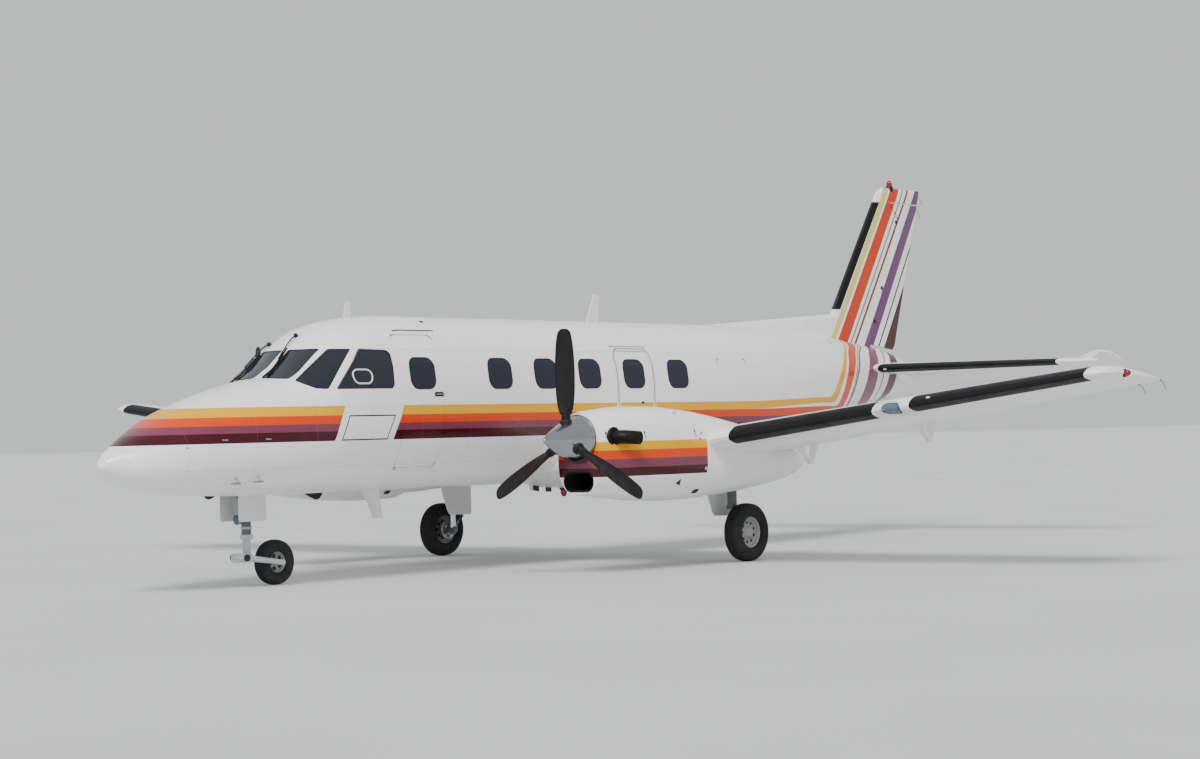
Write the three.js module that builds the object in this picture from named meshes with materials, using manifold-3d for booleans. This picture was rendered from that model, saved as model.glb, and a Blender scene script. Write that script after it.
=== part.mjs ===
// Twin-turboprop commuter airliner, parked on its tricycle gear.
// Millimetres. +Z up, nose towards -Y, port wing towards +X.
// Origin: on the ground, midway between nose and rudder tip, on the centre plane.
// "Station" is the distance aft of a datum just ahead of the nose tip.
import * as THREE from 'three';
import { mergeVertices } from 'three/addons/utils/BufferGeometryUtils.js';
import Module from 'manifold-3d';

const wasm = await Module();
wasm.setup();

// Driving dimensions
const overallLength = 15100;
const wingSpan = 15330;
const track = 4860;
const wheelbase = 5120;
const noseTip = 50; // station of the nose tip
const coneEnd = 14690; // station of the end of the tail cone
const mainWheelStation = 7480;
const noseWheelStation = mainWheelStation - wheelbase;
const propellerDiameter = 2360;
const fit = 0.3; // gap between pieces that rest on each other
const running = 6; // gap round a piece that moves
const aft = (station) => station - noseTip - overallLength / 2;
const radians = THREE.MathUtils.degToRad;

// Finishes: colour, roughness, metalness
const finishes = {
  white: [0xf2f3f1, 0.35, 0],
  whiteMetal: [0xe4e6e6, 0.4, 0.1],
  glass: [0x10131c, 0.08, 0],
  bare: [0xb9bcc0, 0.3, 0.9],
  black: [0x17181b, 0.6, 0],
  tyre: [0x1c1c1d, 0.9, 0],
  exhaust: [0x1d1b1b, 0.7, 0.4],
  interior: [0x4b4e52, 0.8, 0],
  leather: [0x2c2e33, 0.75, 0],
};

// Manifold helpers
function toSolid(geometry) {
  const source = geometry.clone();
  source.deleteAttribute('normal');
  source.deleteAttribute('uv');
  const merged = mergeVertices(source, 1e-3);
  return new wasm.Manifold(new wasm.Mesh({
    numProp: 3,
    vertProperties: new Float32Array(merged.attributes.position.array),
    triVerts: new Uint32Array(merged.index.array),
  }));
}

function toGeometry(solid) {
  const mesh = solid.getMesh();
  const geometry = new THREE.BufferGeometry();
  geometry.setAttribute('position', new THREE.BufferAttribute(new Float32Array(mesh.vertProperties), 3));
  geometry.setIndex(new THREE.BufferAttribute(new Uint32Array(mesh.triVerts), 1));
  geometry.computeVertexNormals();
  return geometry;
}

const group = new THREE.Group();
group.name = 'turboprop_airliner';

function place(name, solid, finish) {
  const [color, roughness, metalness] = finishes[finish];
  const material = new THREE.MeshStandardMaterial({ color, roughness, metalness });
  const mesh = new THREE.Mesh(toGeometry(solid), material);
  mesh.name = name;
  group.add(mesh);
}

const mirrored = (solid) => solid.mirror([1, 0, 0]);

function placePair(name, solid, finish) {
  place(`${name}_port`, solid, finish);
  place(`${name}_starboard`, mirrored(solid), finish);
}

const joined = (...solids) => solids.reduce((sum, next) => sum.add(next));
const subtractAll = (solid, cuts) => cuts.reduce((left, cut) => left.subtract(cut), solid);

// Smooth monotone interpolation of one column of a table against its first column
function smooth(table, column, at) {
  const x = table.map((row) => row[0]);
  const y = table.map((row) => row[column]);
  const last = x.length - 1;
  if (at <= x[0]) return y[0];
  if (at >= x[last]) return y[last];
  const slope = x.slice(1).map((value, i) => (y[i + 1] - y[i]) / (value - x[i]));
  const tangent = x.map((_, i) => {
    if (i === 0) return slope[0];
    if (i === last) return slope[last - 1];
    if (slope[i - 1] * slope[i] <= 0) return 0;
    return (2 * slope[i - 1] * slope[i]) / (slope[i - 1] + slope[i]);
  });
  const i = x.findIndex((value) => value > at) - 1;
  const h = x[i + 1] - x[i];
  const t = (at - x[i]) / h;
  return y[i] * (1 + 2 * t) * (1 - t) ** 2 + h * tangent[i] * t * (1 - t) ** 2
    + y[i + 1] * t * t * (3 - 2 * t) + h * tangent[i + 1] * t * t * (t - 1);
}

// A closed loft through planar rings with equal point counts
function loft(rings) {
  const count = rings[0].length;
  const centre = (ring) => ring.reduce((sum, p) => sum.add(p), new THREE.Vector3()).divideScalar(count);
  const axis = centre(rings[rings.length - 1]).sub(centre(rings[0])).normalize();
  const u = new THREE.Vector3(axis.z, axis.x, axis.y).cross(axis).normalize();
  const v = axis.clone().cross(u);
  const flat = (ring) => ring.map((p) => new THREE.Vector2(p.dot(u), p.dot(v)));
  const turn = THREE.ShapeUtils.area(flat(rings[0])) > 0 ? 1 : -1;
  const points = rings.flat();
  const faces = [];
  const face = (a, b, c) => faces.push(...(turn > 0 ? [a, b, c] : [a, c, b]));
  for (let r = 0; r + 1 < rings.length; r++) {
    for (let i = 0; i < count; i++) {
      const a = r * count + i;
      const b = r * count + ((i + 1) % count);
      face(a, b, b + count);
      face(a, b + count, a + count);
    }
  }
  for (const r of [0, rings.length - 1]) {
    const outline = flat(rings[r]);
    for (const [a, b, c] of THREE.ShapeUtils.triangulateShape(outline, [])) {
      const way = THREE.ShapeUtils.area([outline[a], outline[b], outline[c]]) > 0 ? 1 : -1;
      const outward = r === 0 ? -way : way;
      const [p, q, s] = [a, b, c].map((i) => i + r * count);
      faces.push(...(outward > 0 ? [p, q, s] : [p, s, q]));
    }
  }
  const geometry = new THREE.BufferGeometry();
  geometry.setAttribute('position', new THREE.Float32BufferAttribute(points.flatMap((p) => p.toArray()), 3));
  geometry.setIndex(faces);
  return toSolid(geometry);
}

// A box from its low and high corners, stations on Y
function box(low, high) {
  const size = new THREE.Vector3().subVectors(new THREE.Vector3(...high), new THREE.Vector3(...low));
  const geometry = new THREE.BoxGeometry(size.x, size.y, size.z);
  geometry.translate((low[0] + high[0]) / 2, aft((low[1] + high[1]) / 2), (low[2] + high[2]) / 2);
  return toSolid(geometry);
}

// A round rod between two points [x, station, z]
function rod(from, to, radius, endRadius = radius, sides = 10) {
  const a = new THREE.Vector3(from[0], aft(from[1]), from[2]);
  const b = new THREE.Vector3(to[0], aft(to[1]), to[2]);
  const way = b.clone().sub(a);
  const geometry = new THREE.CylinderGeometry(endRadius, radius, way.length(), sides);
  geometry.applyQuaternion(new THREE.Quaternion().setFromUnitVectors(new THREE.Vector3(0, 1, 0),
    way.clone().normalize()));
  geometry.translate(...a.clone().add(b).divideScalar(2).toArray());
  return toSolid(geometry);
}

// A plate with an outline in side view [station, z], from x low to x high
function sidePlate(outline, low, high) {
  const shape = outline instanceof THREE.Shape ? outline
    : new THREE.Shape(outline.map(([station, z]) => new THREE.Vector2(station, z)));
  const geometry = new THREE.ExtrudeGeometry(shape, { depth: high - low, bevelEnabled: false,
    curveSegments: 6 });
  const basis = new THREE.Matrix4().set(0, 0, 1, low, 1, 0, 0, aft(0), 0, 1, 0, 0, 0, 0, 0, 1);
  geometry.applyMatrix4(basis);
  return toSolid(geometry);
}

// A plate with an outline in front view [x, z], from one station to another
function frontPlate(outline, low, high) {
  const shape = outline instanceof THREE.Shape ? outline
    : new THREE.Shape(outline.map(([x, z]) => new THREE.Vector2(x, z)));
  const geometry = new THREE.ExtrudeGeometry(shape, { depth: high - low, bevelEnabled: false,
    curveSegments: 6 });
  const basis = new THREE.Matrix4().set(1, 0, 0, 0, 0, 0, -1, aft(high), 0, 1, 0, 0, 0, 0, 0, 1);
  geometry.applyMatrix4(basis);
  return toSolid(geometry);
}

// A plate with an outline in plan [x, station], from one height to another
function planPlate(outline, low, high) {
  const shape = new THREE.Shape(outline.map(([x, station]) => new THREE.Vector2(x, aft(station))));
  const geometry = new THREE.ExtrudeGeometry(shape, { depth: high - low, bevelEnabled: false });
  geometry.translate(0, 0, low);
  return toSolid(geometry);
}

// A polygon with round corners, moved out by grow
function roundOutline(points, radius, grow = 0) {
  const sharp = points.map(([a, b]) => new THREE.Vector2(a, b));
  const turn = Math.sign(THREE.ShapeUtils.area(sharp));
  const normal = (from, to) => new THREE.Vector2(to.y - from.y, from.x - to.x).setLength(turn);
  const corners = sharp.map((corner, i) => {
    const before = sharp[(i + sharp.length - 1) % sharp.length];
    const after = sharp[(i + 1) % sharp.length];
    const both = normal(before, corner).add(normal(corner, after));
    return corner.clone().addScaledVector(both, (2 * grow) / both.lengthSq());
  });
  const shape = new THREE.Shape();
  corners.forEach((corner, i) => {
    const before = corners[(i + corners.length - 1) % corners.length];
    const after = corners[(i + 1) % corners.length];
    const start = corner.clone().add(before.clone().sub(corner).setLength(radius));
    const end = corner.clone().add(after.clone().sub(corner).setLength(radius));
    if (i === 0) shape.moveTo(start.x, start.y);
    else shape.lineTo(start.x, start.y);
    shape.quadraticCurveTo(corner.x, corner.y, end.x, end.y);
  });
  shape.closePath();
  return shape;
}

const rectangle = (a, b, c, d) => [[a, b], [c, b], [c, d], [a, d]];

// A solid of revolution about a line along Y (spinner) or X (wheel) through a point
function turned(profile, axis, [x, station, z], sides) {
  const geometry = new THREE.LatheGeometry(profile.map(([r, along]) => new THREE.Vector2(r, along)), sides);
  if (axis === 'x') geometry.rotateZ(-Math.PI / 2);
  const where = axis === 'x' ? [x, aft(station), z] : [x, aft(0), z];
  geometry.translate(...where);
  return toSolid(geometry);
}

// Fuselage
// station, half width, top, bottom, roundness power of the section
const fuselage = [
  [noseTip, 12, 1332, 1308, 2.0],
  [62, 50, 1362, 1285, 2.0],
  [95, 88, 1400, 1255, 2.0],
  [160, 145, 1455, 1212, 2.05],
  [290, 268, 1524, 1130, 2.1],
  [550, 440, 1670, 1049, 2.15],
  [950, 603, 1867, 993, 2.25],
  [1450, 704, 2027, 961, 2.35],
  [2000, 778, 2165, 950, 2.45],
  [2165, 787, 2190, 950, 2.5],
  [2580, 828, 2492, 950, 2.5],
  [2700, 838, 2580, 950, 2.5],
  [3000, 850, 2768, 950, 2.5],
  [3300, 858, 2838, 950, 2.5],
  [3700, 860, 2880, 950, 2.5],
  [9400, 860, 2880, 950, 2.5],
  [10200, 835, 2870, 1000, 2.5],
  [11200, 730, 2845, 1180, 2.4],
  [12200, 570, 2800, 1440, 2.3],
  [13200, 370, 2700, 1720, 2.2],
  [14000, 225, 2600, 1905, 2.1],
  [14350, 150, 2520, 1970, 2.05],
  [14600, 85, 2440, 2030, 2.0],
  [coneEnd, 35, 2400, 2070, 2.0],
];
const fuselageSides = 28;

function ovalRing(table, station, centreX, sides, grow = 0) {
  const [halfWidth, top, bottom, power] = [1, 2, 3, 4].map((column) => smooth(table, column, station));
  const halfHeight = (top - bottom) / 2;
  return Array.from({ length: sides }, (_, i) => {
    const angle = (2 * Math.PI * (i + 0.5)) / sides;
    const shaped = (value) => Math.sign(value) * Math.abs(value) ** (2 / power);
    return new THREE.Vector3(
      centreX + (halfWidth + grow) * shaped(Math.cos(angle)),
      aft(station),
      (top + bottom) / 2 + (halfHeight + grow) * shaped(Math.sin(angle)),
    );
  });
}

const between = (from, to, steps) => Array.from({ length: steps + 1 },
  (_, i) => from + ((to - from) * i) / steps);
const fuselageStations = [
  noseTip, 62, 95, 160, 290, 400, 550, 740, 950, 1200, 1450, 1730, 2000, 2165, 2370, 2580, 2700, 2840,
  3000, 3300,
  3700, 9400, 10100, 10800, 11600, 12400, 13200, 14000, 14350, 14600, coneEnd,
];

function body(from, to, grow = 0) {
  const inside = fuselageStations.filter((station) => station > from + 5 && station < to - 5);
  return loft([from, ...inside, to].map((station) => ovalRing(fuselage, station, 0, fuselageSides, grow)));
}

const wholeBody = (grow) => body(noseTip, coneEnd, grow);

// Where the fuselage skin panels meet
const noseBreak = 950;
const deckBreak = 4600;
const rearBreak = 8900;
const tailBreak = 12400;

// Nose gear bay, between the gear doors
const noseBay = { halfWidth: 150, front: 1250, back: 2190, roof: 1140 };
const noseBayTool = box([-noseBay.halfWidth, noseBay.front, 0],
  [noseBay.halfWidth, noseBay.back, noseBay.roof]);

// Flight deck hollow
const skin = 45;
const floorHeight = 1220;
const hollowStations = [2000, 2165, 2580, 2840, 3300, 4280];
const deckTube = (grow) => loft(hollowStations.map((station) =>
  ovalRing(fuselage, station, 0, 16, grow - skin)));
const deckHollow = deckTube(0).intersect(box([-2000, 1900, floorHeight], [2000, 4400, 4000]));

// Flight deck windows on the port side: corners on the skin as [x, station, z], and the
// direction each one faces, in degrees from straight ahead towards port
const windows = [
  {
    name: 'windscreen', faces: 0,
    corners: [[55, 2165, 2190], [50, 2580, 2493], [430, 2666, 2493], [424, 2231, 2168]],
  },
  {
    name: 'quarter_window', faces: 45,
    corners: [[488, 2259, 2147], [514, 2721, 2487], [657, 2908, 2483], [754, 2482, 2052], [690, 2370, 2060]],
  },
  {
    name: 'side_window', faces: 90,
    corners: [[786, 2576, 2051], [689, 2995, 2482], [751, 3346, 2470], [775, 3395, 2430], [852, 3375, 2090],
      [854, 3335, 2055]],
  },
];
const windowCorner = 22;
const windowReach = 300; // half the length of the prism that cuts a window

function windowTool({ faces, corners }, grow) {
  const turn = radians(faces);
  const outline = corners.map(([x, station, z]) => [x * Math.cos(turn) + aft(station) * Math.sin(turn), z]);
  const middle = corners.map(([x, station]) => x * Math.sin(turn) - aft(station) * Math.cos(turn))
    .reduce((sum, value) => sum + value / corners.length, 0);
  const shape = roundOutline(outline, windowCorner, grow);
  const geometry = new THREE.ExtrudeGeometry(shape, { depth: 2 * windowReach, bevelEnabled: false,
    curveSegments: 3 });
  geometry.translate(0, 0, middle - windowReach);
  const across = new THREE.Vector3(Math.cos(turn), Math.sin(turn), 0);
  const outward = new THREE.Vector3(Math.sin(turn), -Math.cos(turn), 0);
  geometry.applyMatrix4(new THREE.Matrix4().makeBasis(across, new THREE.Vector3(0, 0, 1), outward));
  return toSolid(geometry);
}

const glassOuter = body(1700, 3600, -8);
const glassInner = body(1700 - 20, 3600 + 20, -20);

// Forward airstair door, hinged along its sill on the port side
const door = { front: 3500, back: 4130, sill: 1200, top: 2640, corner: 90, tilt: -2, gap: 5.5 };
const doorHinge = { x: 652, z: 1192, radius: 14 };

function doorTool(grow) {
  const outline = rectangle(door.front - grow, door.sill - grow, door.back + grow, door.top + grow);
  const shape = roundOutline(outline, door.corner - 5 * Math.max(grow, 0)); // an opening has tighter corners
  const tool = sidePlate(shape, 560, 1300);
  return tool.translate([-doorHinge.x, 0, -doorHinge.z]).rotate([0, door.tilt, 0])
    .translate([doorHinge.x, 0, doorHinge.z]);
}

const doorSkin = body(3400, 4240).subtract(body(3380, 4260, -skin));
const doorSteps = between(1460, 2420, 3).map((height) => box([600, door.front + 60, height],
  [860, door.back - 60, height + 30]));
const doorBarrels = [3560, 3740, 3890, 4070]; // ends of the fixed and moving hinge barrels, in stations
const barrel = (from, to, grow = 0) => rod([doorHinge.x, from, doorHinge.z], [doorHinge.x, to, doorHinge.z],
  doorHinge.radius + grow);
const fixedBarrels = [[doorBarrels[0], doorBarrels[1]], [doorBarrels[2], doorBarrels[3]]];
const doorPanel = joined(
  subtractAll(doorSkin.intersect(doorTool(0)), fixedBarrels.map(([from, to]) =>
    barrel(from - 4, to + 4, running))),
  joined(...doorSteps).intersect(body(3400, 4240, -10)).intersect(doorTool(-4)),
  barrel(doorBarrels[1] + fit, doorBarrels[2] - fit),
  box([doorHinge.x - 14, doorBarrels[1] + 20, doorHinge.z],
    [doorHinge.x + 6, doorBarrels[2] - 20, doorHinge.z + 60]),
);

let deckShell = body(noseBreak + fit, deckBreak - fit).subtract(deckHollow).subtract(noseBayTool)
  .subtract(doorTool(door.gap));
for (const pane of windows) {
  const tool = windowTool(pane, 0);
  deckShell = deckShell.subtract(tool).subtract(mirrored(tool));
}
// the door's lower edge turns in a groove, and the fixed leaves reach inboard from the barrels
const hingeGroove = barrel(door.front - door.gap, door.back + door.gap, running + 1);
const leafClear = box([doorHinge.x - 14, doorBarrels[1], doorHinge.z - 20],
  [doorHinge.x + 90, doorBarrels[2], 1300]);
deckShell = joined(
  deckShell.subtract(hingeGroove).subtract(leafClear),
  ...fixedBarrels.flatMap(([from, to]) => [
    barrel(from, to),
    box([doorHinge.x - 40, from + 10, doorHinge.z - 13], [doorHinge.x, to - 10, doorHinge.z - 1]),
  ]),
);

place('nose_cone', body(noseTip, noseBreak), 'white');
place('flight_deck_shell', deckShell, 'white');
place('forward_door', doorPanel, 'white');
for (const pane of windows) {
  const glass = glassOuter.subtract(glassInner).intersect(windowTool(pane, -fit));
  placePair(pane.name, glass, 'glass');
}

// Overwing exits: plug hatches let into both sides of the cabin
const exit = { front: 7130, back: 7810, bottom: 1600, top: 2520, corner: 110, depth: 60 };
const exitTool = (grow) => sidePlate(
  roundOutline(rectangle(exit.front - grow, exit.bottom - grow, exit.back + grow, exit.top + grow),
    exit.corner),
  300, 1300,
);
const exitSkin = (out, into) => body(7000, 7950, out).subtract(body(6980, 7970, -exit.depth - into));
const exitPocket = exitTool(fit).intersect(exitSkin(30, fit));
const cabin = body(deckBreak, rearBreak - fit).subtract(exitPocket).subtract(mirrored(exitPocket));
place('cabin_shell', cabin, 'white');
placePair('overwing_exit', exitTool(0).intersect(exitSkin(0, 0)), 'white');
place('rear_fuselage', body(rearBreak, tailBreak - fit), 'white');

// Aerofoils
const foilSteps = [0, 0.012, 0.05, 0.12, 0.24, 0.4, 0.6, 0.8, 1];
const halfThickness = (ratio, u) => 5 * ratio * (0.2969 * Math.sqrt(u) - 0.126 * u - 0.3516 * u * u
  + 0.2843 * u ** 3 - 0.1015 * u ** 4);
const camberLine = (u) => (u < 0.2025
  ? (15.957 / 6) * (u ** 3 - 3 * 0.2025 * u * u + 0.2025 ** 2 * (3 - 0.2025) * u)
  : ((15.957 * 0.2025 ** 3) / 6) * (1 - u));

// Wing: straight taper, 230 series, set at incidence and dihedral
const wing = {
  rootChord: 2330, tipChord: 1350, rootRatio: 0.16, tipRatio: 0.12, quarterStation: 6726,
  quarterSweep: 0.0059,
  rootHeight: 1032, dihedral: Math.tan(radians(7.15)), incidence: radians(3), semiSpan: wingSpan / 2,
};
// part of the semi span beyond the last full section, share of chord and of thickness that is left
const tipRounding = [[0, 1, 1], [0.5, 0.97, 0.86], [0.85, 0.88, 0.6], [1, 0.7, 0.22]];
const wingTipStart = 7500;

const wingFoil = {
  chord: (x) => wing.rootChord + (wing.tipChord - wing.rootChord) * (x / wing.semiSpan),
  ratio: (x) => wing.rootRatio + (wing.tipRatio - wing.rootRatio) * (x / wing.semiSpan),
  camber: camberLine,
  point(x, u, v) {
    const chord = this.chord(x);
    const along = (u - 0.25) * chord;
    return new THREE.Vector3(
      x,
      aft(wing.quarterStation + wing.quarterSweep * x + along * Math.cos(wing.incidence)
        + v * Math.sin(wing.incidence)),
      wing.rootHeight + wing.dihedral * x - along * Math.sin(wing.incidence) + v * Math.cos(wing.incidence),
    );
  },
};

// Height of the upper (+1) or lower (-1) surface above the chord line at share u of the chord
const surface = (foil, t, u, side) =>
  foil.chord(t) * (foil.camber(u) + side * halfThickness(foil.ratio(t), u));

function foilRing(foil, t, { chordShare = 1, thickShare = 1, grow = 0, mid = 0.45 } = {}) {
  const upper = [...foilSteps].reverse();
  const lower = foilSteps.slice(1);
  const spot = (u, side) => {
    const moved = mid + (u - mid) * chordShare;
    const v = foil.chord(t) * (foil.camber(u) + side * halfThickness(foil.ratio(t), u) * thickShare);
    const nudge = (grow / foil.chord(t)) * (u < 0.02 ? -1 : u > 0.98 ? 1 : 0);
    return foil.point(t, moved + nudge, v + side * grow);
  };
  return [...upper.map((u) => spot(u, 1)), ...lower.map((u) => spot(u, -1))];
}

const wingSolid = (grow) => loft([
  ...[fit / 2, 900, 1900, 2900, wingTipStart].map((x) => foilRing(wingFoil, x, { grow })),
  ...tipRounding.slice(1).map(([share, chordShare, thickShare]) => foilRing(wingFoil,
    wingTipStart + share * (wing.semiSpan - wingTipStart), { chordShare, thickShare, grow })),
]);

// A hinged surface: round nose about the hinge line, aft part of the foil behind it.
// hingeAt(t) is the hinge's share of the chord; extra > 0 gives the cove it turns in.
function hingedRing(foil, t, hingeAt, extra = 0) {
  const u = hingeAt(t);
  const top = surface(foil, t, u, 1);
  const bottom = surface(foil, t, u, -1);
  const middle = (top + bottom) / 2;
  const radius = (top - bottom) / 2 + extra;
  const chord = foil.chord(t);
  const arc = between(90, 270, 8).map((degrees) =>
    foil.point(t, u + (radius * Math.cos(radians(degrees))) / chord,
    middle + radius * Math.sin(radians(degrees))));
  if (extra) {
    const far = radius + 200;
    return [foil.point(t, 1.2, middle + far), foil.point(t, u, middle + far), ...arc,
      foil.point(t, u, middle - far), foil.point(t, 1.2, middle - far)];
  }
  const edge = (share, side) => foil.point(t, u + (1 - u) * share,
    surface(foil, t, u + (1 - u) * share, side));
  return [edge(1, 1), edge(0.5, 1), ...arc, edge(0.5, -1), edge(1, -1)];
}

function hingePoint(foil, t, hingeAt) {
  const u = hingeAt(t);
  const middle = (surface(foil, t, u, 1) + surface(foil, t, u, -1)) / 2;
  const point = foil.point(t, u, middle);
  return [point.x, point.y - aft(0), point.z];
}

const hinged = (foil, ends, hingeAt, extra) => loft(ends.map((t) => hingedRing(foil, t, hingeAt, extra)));

// Coaxial stubs across the gap at one end of a hinged surface: [moving stub, fixed stub]
function hingeStubs(at, along, gap, radius) {
  const a = new THREE.Vector3(...at);
  const way = new THREE.Vector3(...along).normalize();
  const spot = (distance) => a.clone().addScaledVector(way, distance).toArray();
  return [rod(spot(-30), spot(gap / 2 - fit / 2), radius),
    rod(spot(gap / 2 + fit / 2), spot(gap + 30), radius)];
}

// Ailerons and slotted flaps, spans along X
const endGap = 12;
const aileron = { inner: 5050, outer: 7420, hinge: () => 0.72 };
const flapHinge = () => 0.71;
const flapSpans = { inner_flap: [900, 1880], outer_flap: [2930, 4980] };
const flapPivotDrop = 190;
const bracketSpots = { inner_flap: [1080, 1700], outer_flap: [3230, 4880] };
const bracketThick = 14;
const pinLength = 6;

let wingPort = wingSolid(0).subtract(wholeBody(fit));
const pivotAt = (x) => {
  const [, station, z] = hingePoint(wingFoil, x, flapHinge);
  const radius = (surface(wingFoil, x, flapHinge(), 1) - surface(wingFoil, x, flapHinge(), -1)) / 2;
  return [x, station, z - radius - flapPivotDrop];
};
// The pivots of both flaps lie on one straight line between these two points
const pivotLine = [pivotAt(flapSpans.inner_flap[0]), pivotAt(flapSpans.outer_flap[1])];
const onPivotLine = (x) => {
  const share = (x - pivotLine[0][0]) / (pivotLine[1][0] - pivotLine[0][0]);
  return pivotLine[0].map((value, i) => value + (pivotLine[1][i] - value) * share);
};

// Ends square to the pivot line, so that a flap swings without moving along the span
const pivotWay = new THREE.Vector3(...pivotLine[1]).sub(new THREE.Vector3(...pivotLine[0])).normalize();
const alongPivot = ([x, station, z]) => new THREE.Vector3(x, aft(station), z).dot(pivotWay);
const squareEnds = (solid, inner, outer, gap) => solid
  .trimByPlane(pivotWay.toArray(), alongPivot(onPivotLine(inner)) - gap)
  .trimByPlane(pivotWay.clone().negate().toArray(), -alongPivot(onPivotLine(outer)) - gap);

const movingSurface = {};
for (const [name, [inner, outer]] of Object.entries(flapSpans)) {
  const ends = [inner - 90, outer + 90];
  wingPort = wingPort.subtract(squareEnds(hinged(wingFoil, ends, flapHinge, running + 2), inner, outer,
    endGap));
  let flap = squareEnds(hinged(wingFoil, ends, flapHinge, 0), inner, outer, 0);
  for (const x of bracketSpots[name]) {
    const [, station, z] = onPivotLine(x);
    const plate = (outline, from) => squareEnds(sidePlate(outline, x - 80, x + 120), from,
      from + bracketThick, 0);
    const fixedPlate = plate([[station - 240, z + 212], [station - 60, z + 212], [station - 40, z + 90],
      [station + 22, z + 12], [station + 22, z - 14], [station - 10, z - 24], [station - 100, z + 70],
      [station - 240, z + 175]], x);
    const upper = hinged(wingFoil, [x - 60, x + 60], flapHinge, running + 2);
    const armPlate = plate([[station - 20, z + 14], [station + 50, z + 235], [station + 200, z + 215],
      [station + 22, z - 22], [station - 20, z - 16]], x + bracketThick + pinLength);
    const pin = rod(onPivotLine(x + bracketThick - 3), onPivotLine(x + bracketThick + pinLength - fit), 12);
    wingPort = joined(wingPort, fixedPlate.subtract(upper.intersect(box([0, station - 150, z + 20],
      [9000, station + 900, z + 400]))), pin);
    flap = joined(flap, armPlate);
  }
  movingSurface[name] = flap;
}

wingPort = wingPort.subtract(hinged(wingFoil, [aileron.inner - endGap, aileron.outer + endGap], aileron.hinge,
  running));
let aileronSolid = hinged(wingFoil, [aileron.inner, aileron.outer], aileron.hinge, 0);
{
  const inner = hingePoint(wingFoil, aileron.inner, aileron.hinge);
  const outer = hingePoint(wingFoil, aileron.outer, aileron.hinge);
  const along = outer.map((value, i) => value - inner[i]);
  const pairs = [hingeStubs(outer, along, endGap, 12), hingeStubs(inner, along.map((value) => -value),
    endGap, 12)];
  for (const [moving, fixed] of pairs) {
    aileronSolid = aileronSolid.add(moving);
    wingPort = wingPort.add(fixed);
  }
}

// Engine nacelles
const nacelleX = 2400;
const shaftHeight = 1460;
// station, half width, top, bottom, roundness power
const nacelle = [
  [4555, 285, 1730, 875, 3.0],
  [4680, 342, 1762, 850, 2.8],
  [4930, 405, 1792, 822, 2.6],
  [5300, 440, 1810, 781, 2.6],
  [5790, 457, 1801, 758, 2.6],
  [6250, 460, 1757, 755, 2.6],
  [6690, 460, 1689, 774, 2.6],
  [7150, 447, 1606, 808, 2.6],
  [7800, 375, 1430, 885, 2.4],
  [8300, 240, 1300, 968, 2.2],
  [8640, 60, 1210, 1110, 2.0],
];
const nacelleStations = [4555, 4610, 4740, 4930, 5300, 5790, 6250, 6690, 7150, 7480, 7800, 8060, 8300,
  8500, 8640];
const nacelleSolid = (grow) => loft(nacelleStations.map((station) =>
  ovalRing(nacelle, station, nacelleX, 22, grow)));

const engine = { radius: 236, front: 4595, back: 6050, flange: 4561 };
const intake = { width: 400, height: 206, middle: 1006, depth: 520 };
const mainBay = { inner: 2100, outer: 2610, front: 6450, back: 7700, roof: 1130 };
const mainBayTool = box([mainBay.inner, mainBay.front, 0], [mainBay.outer, mainBay.back, mainBay.roof]);

// Exhaust stubs: path out of the cowl and aft, [from the nacelle's centre, station, z]
const exhaust = { radius: 70, wall: 7, clear: 17 };
const exhaustPath = [[150, 4752, 1478], [330, 4766, 1478], [425, 4788, 1477], [495, 4850, 1471],
  [532, 4945, 1462]];

function exhaustTube(side, radius, from, to) {
  const curve = new THREE.CatmullRomCurve3(exhaustPath.map(([out, station, z]) => new THREE.Vector3(
    nacelleX + side * out, aft(station), z)));
  const points = between(from, to, 8).map((t) => curve.getPoint(Math.min(t, 1)).addScaledVector(
    curve.getTangent(Math.min(t, 1)), Math.max(0, t - 1) * 400));
  const path = new THREE.CatmullRomCurve3(points);
  const section = new THREE.Shape().absarc(0, 0, radius, 0, 2 * Math.PI);
  return toSolid(new THREE.ExtrudeGeometry(section, { extrudePath: path, steps: 4, curveSegments: 5 }));
}

let engineSolid = joined(
  rod([nacelleX, engine.front, shaftHeight], [nacelleX, engine.back, shaftHeight], engine.radius,
    engine.radius, 20),
  rod([nacelleX, engine.flange + fit, shaftHeight], [nacelleX, engine.front + 10, shaftHeight], 110),
);
const intakeOutline = rectangle(nacelleX - intake.width / 2, intake.middle - intake.height / 2,
  nacelleX + intake.width / 2, intake.middle + intake.height / 2);
let nacellePort = subtractAll(nacelleSolid(0), [
  rod([nacelleX, 4500, shaftHeight], [nacelleX, engine.back + fit, shaftHeight], engine.radius + fit,
    engine.radius + fit, 20),
  frontPlate(roundOutline(intakeOutline, 95), 4500, nacelleStations[0] + intake.depth),
  mainBayTool,
  wingSolid(fit),
]);
for (const side of [1, -1]) {
  nacellePort = nacellePort.subtract(exhaustTube(side, exhaust.radius + exhaust.clear, 0, 1));
  engineSolid = engineSolid.add(exhaustTube(side, exhaust.radius, 0, 1))
    .subtract(exhaustTube(side, exhaust.radius - exhaust.wall, 0.45, 1.2));
}

placePair('wing', wingPort, 'white');
placePair('nacelle', nacellePort, 'white');
placePair('engine', engineSolid, 'exhaust');
placePair('aileron', aileronSolid, 'white');
for (const name of Object.keys(flapSpans)) placePair(name, movingSurface[name], 'white');

// Propellers: hub with three blades, one standing straight up, and a pointed spinner
const propeller = { plane: 4370, hubRadius: 108, hubFront: 4275, rootRadius: 50, blades: 3 };
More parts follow.
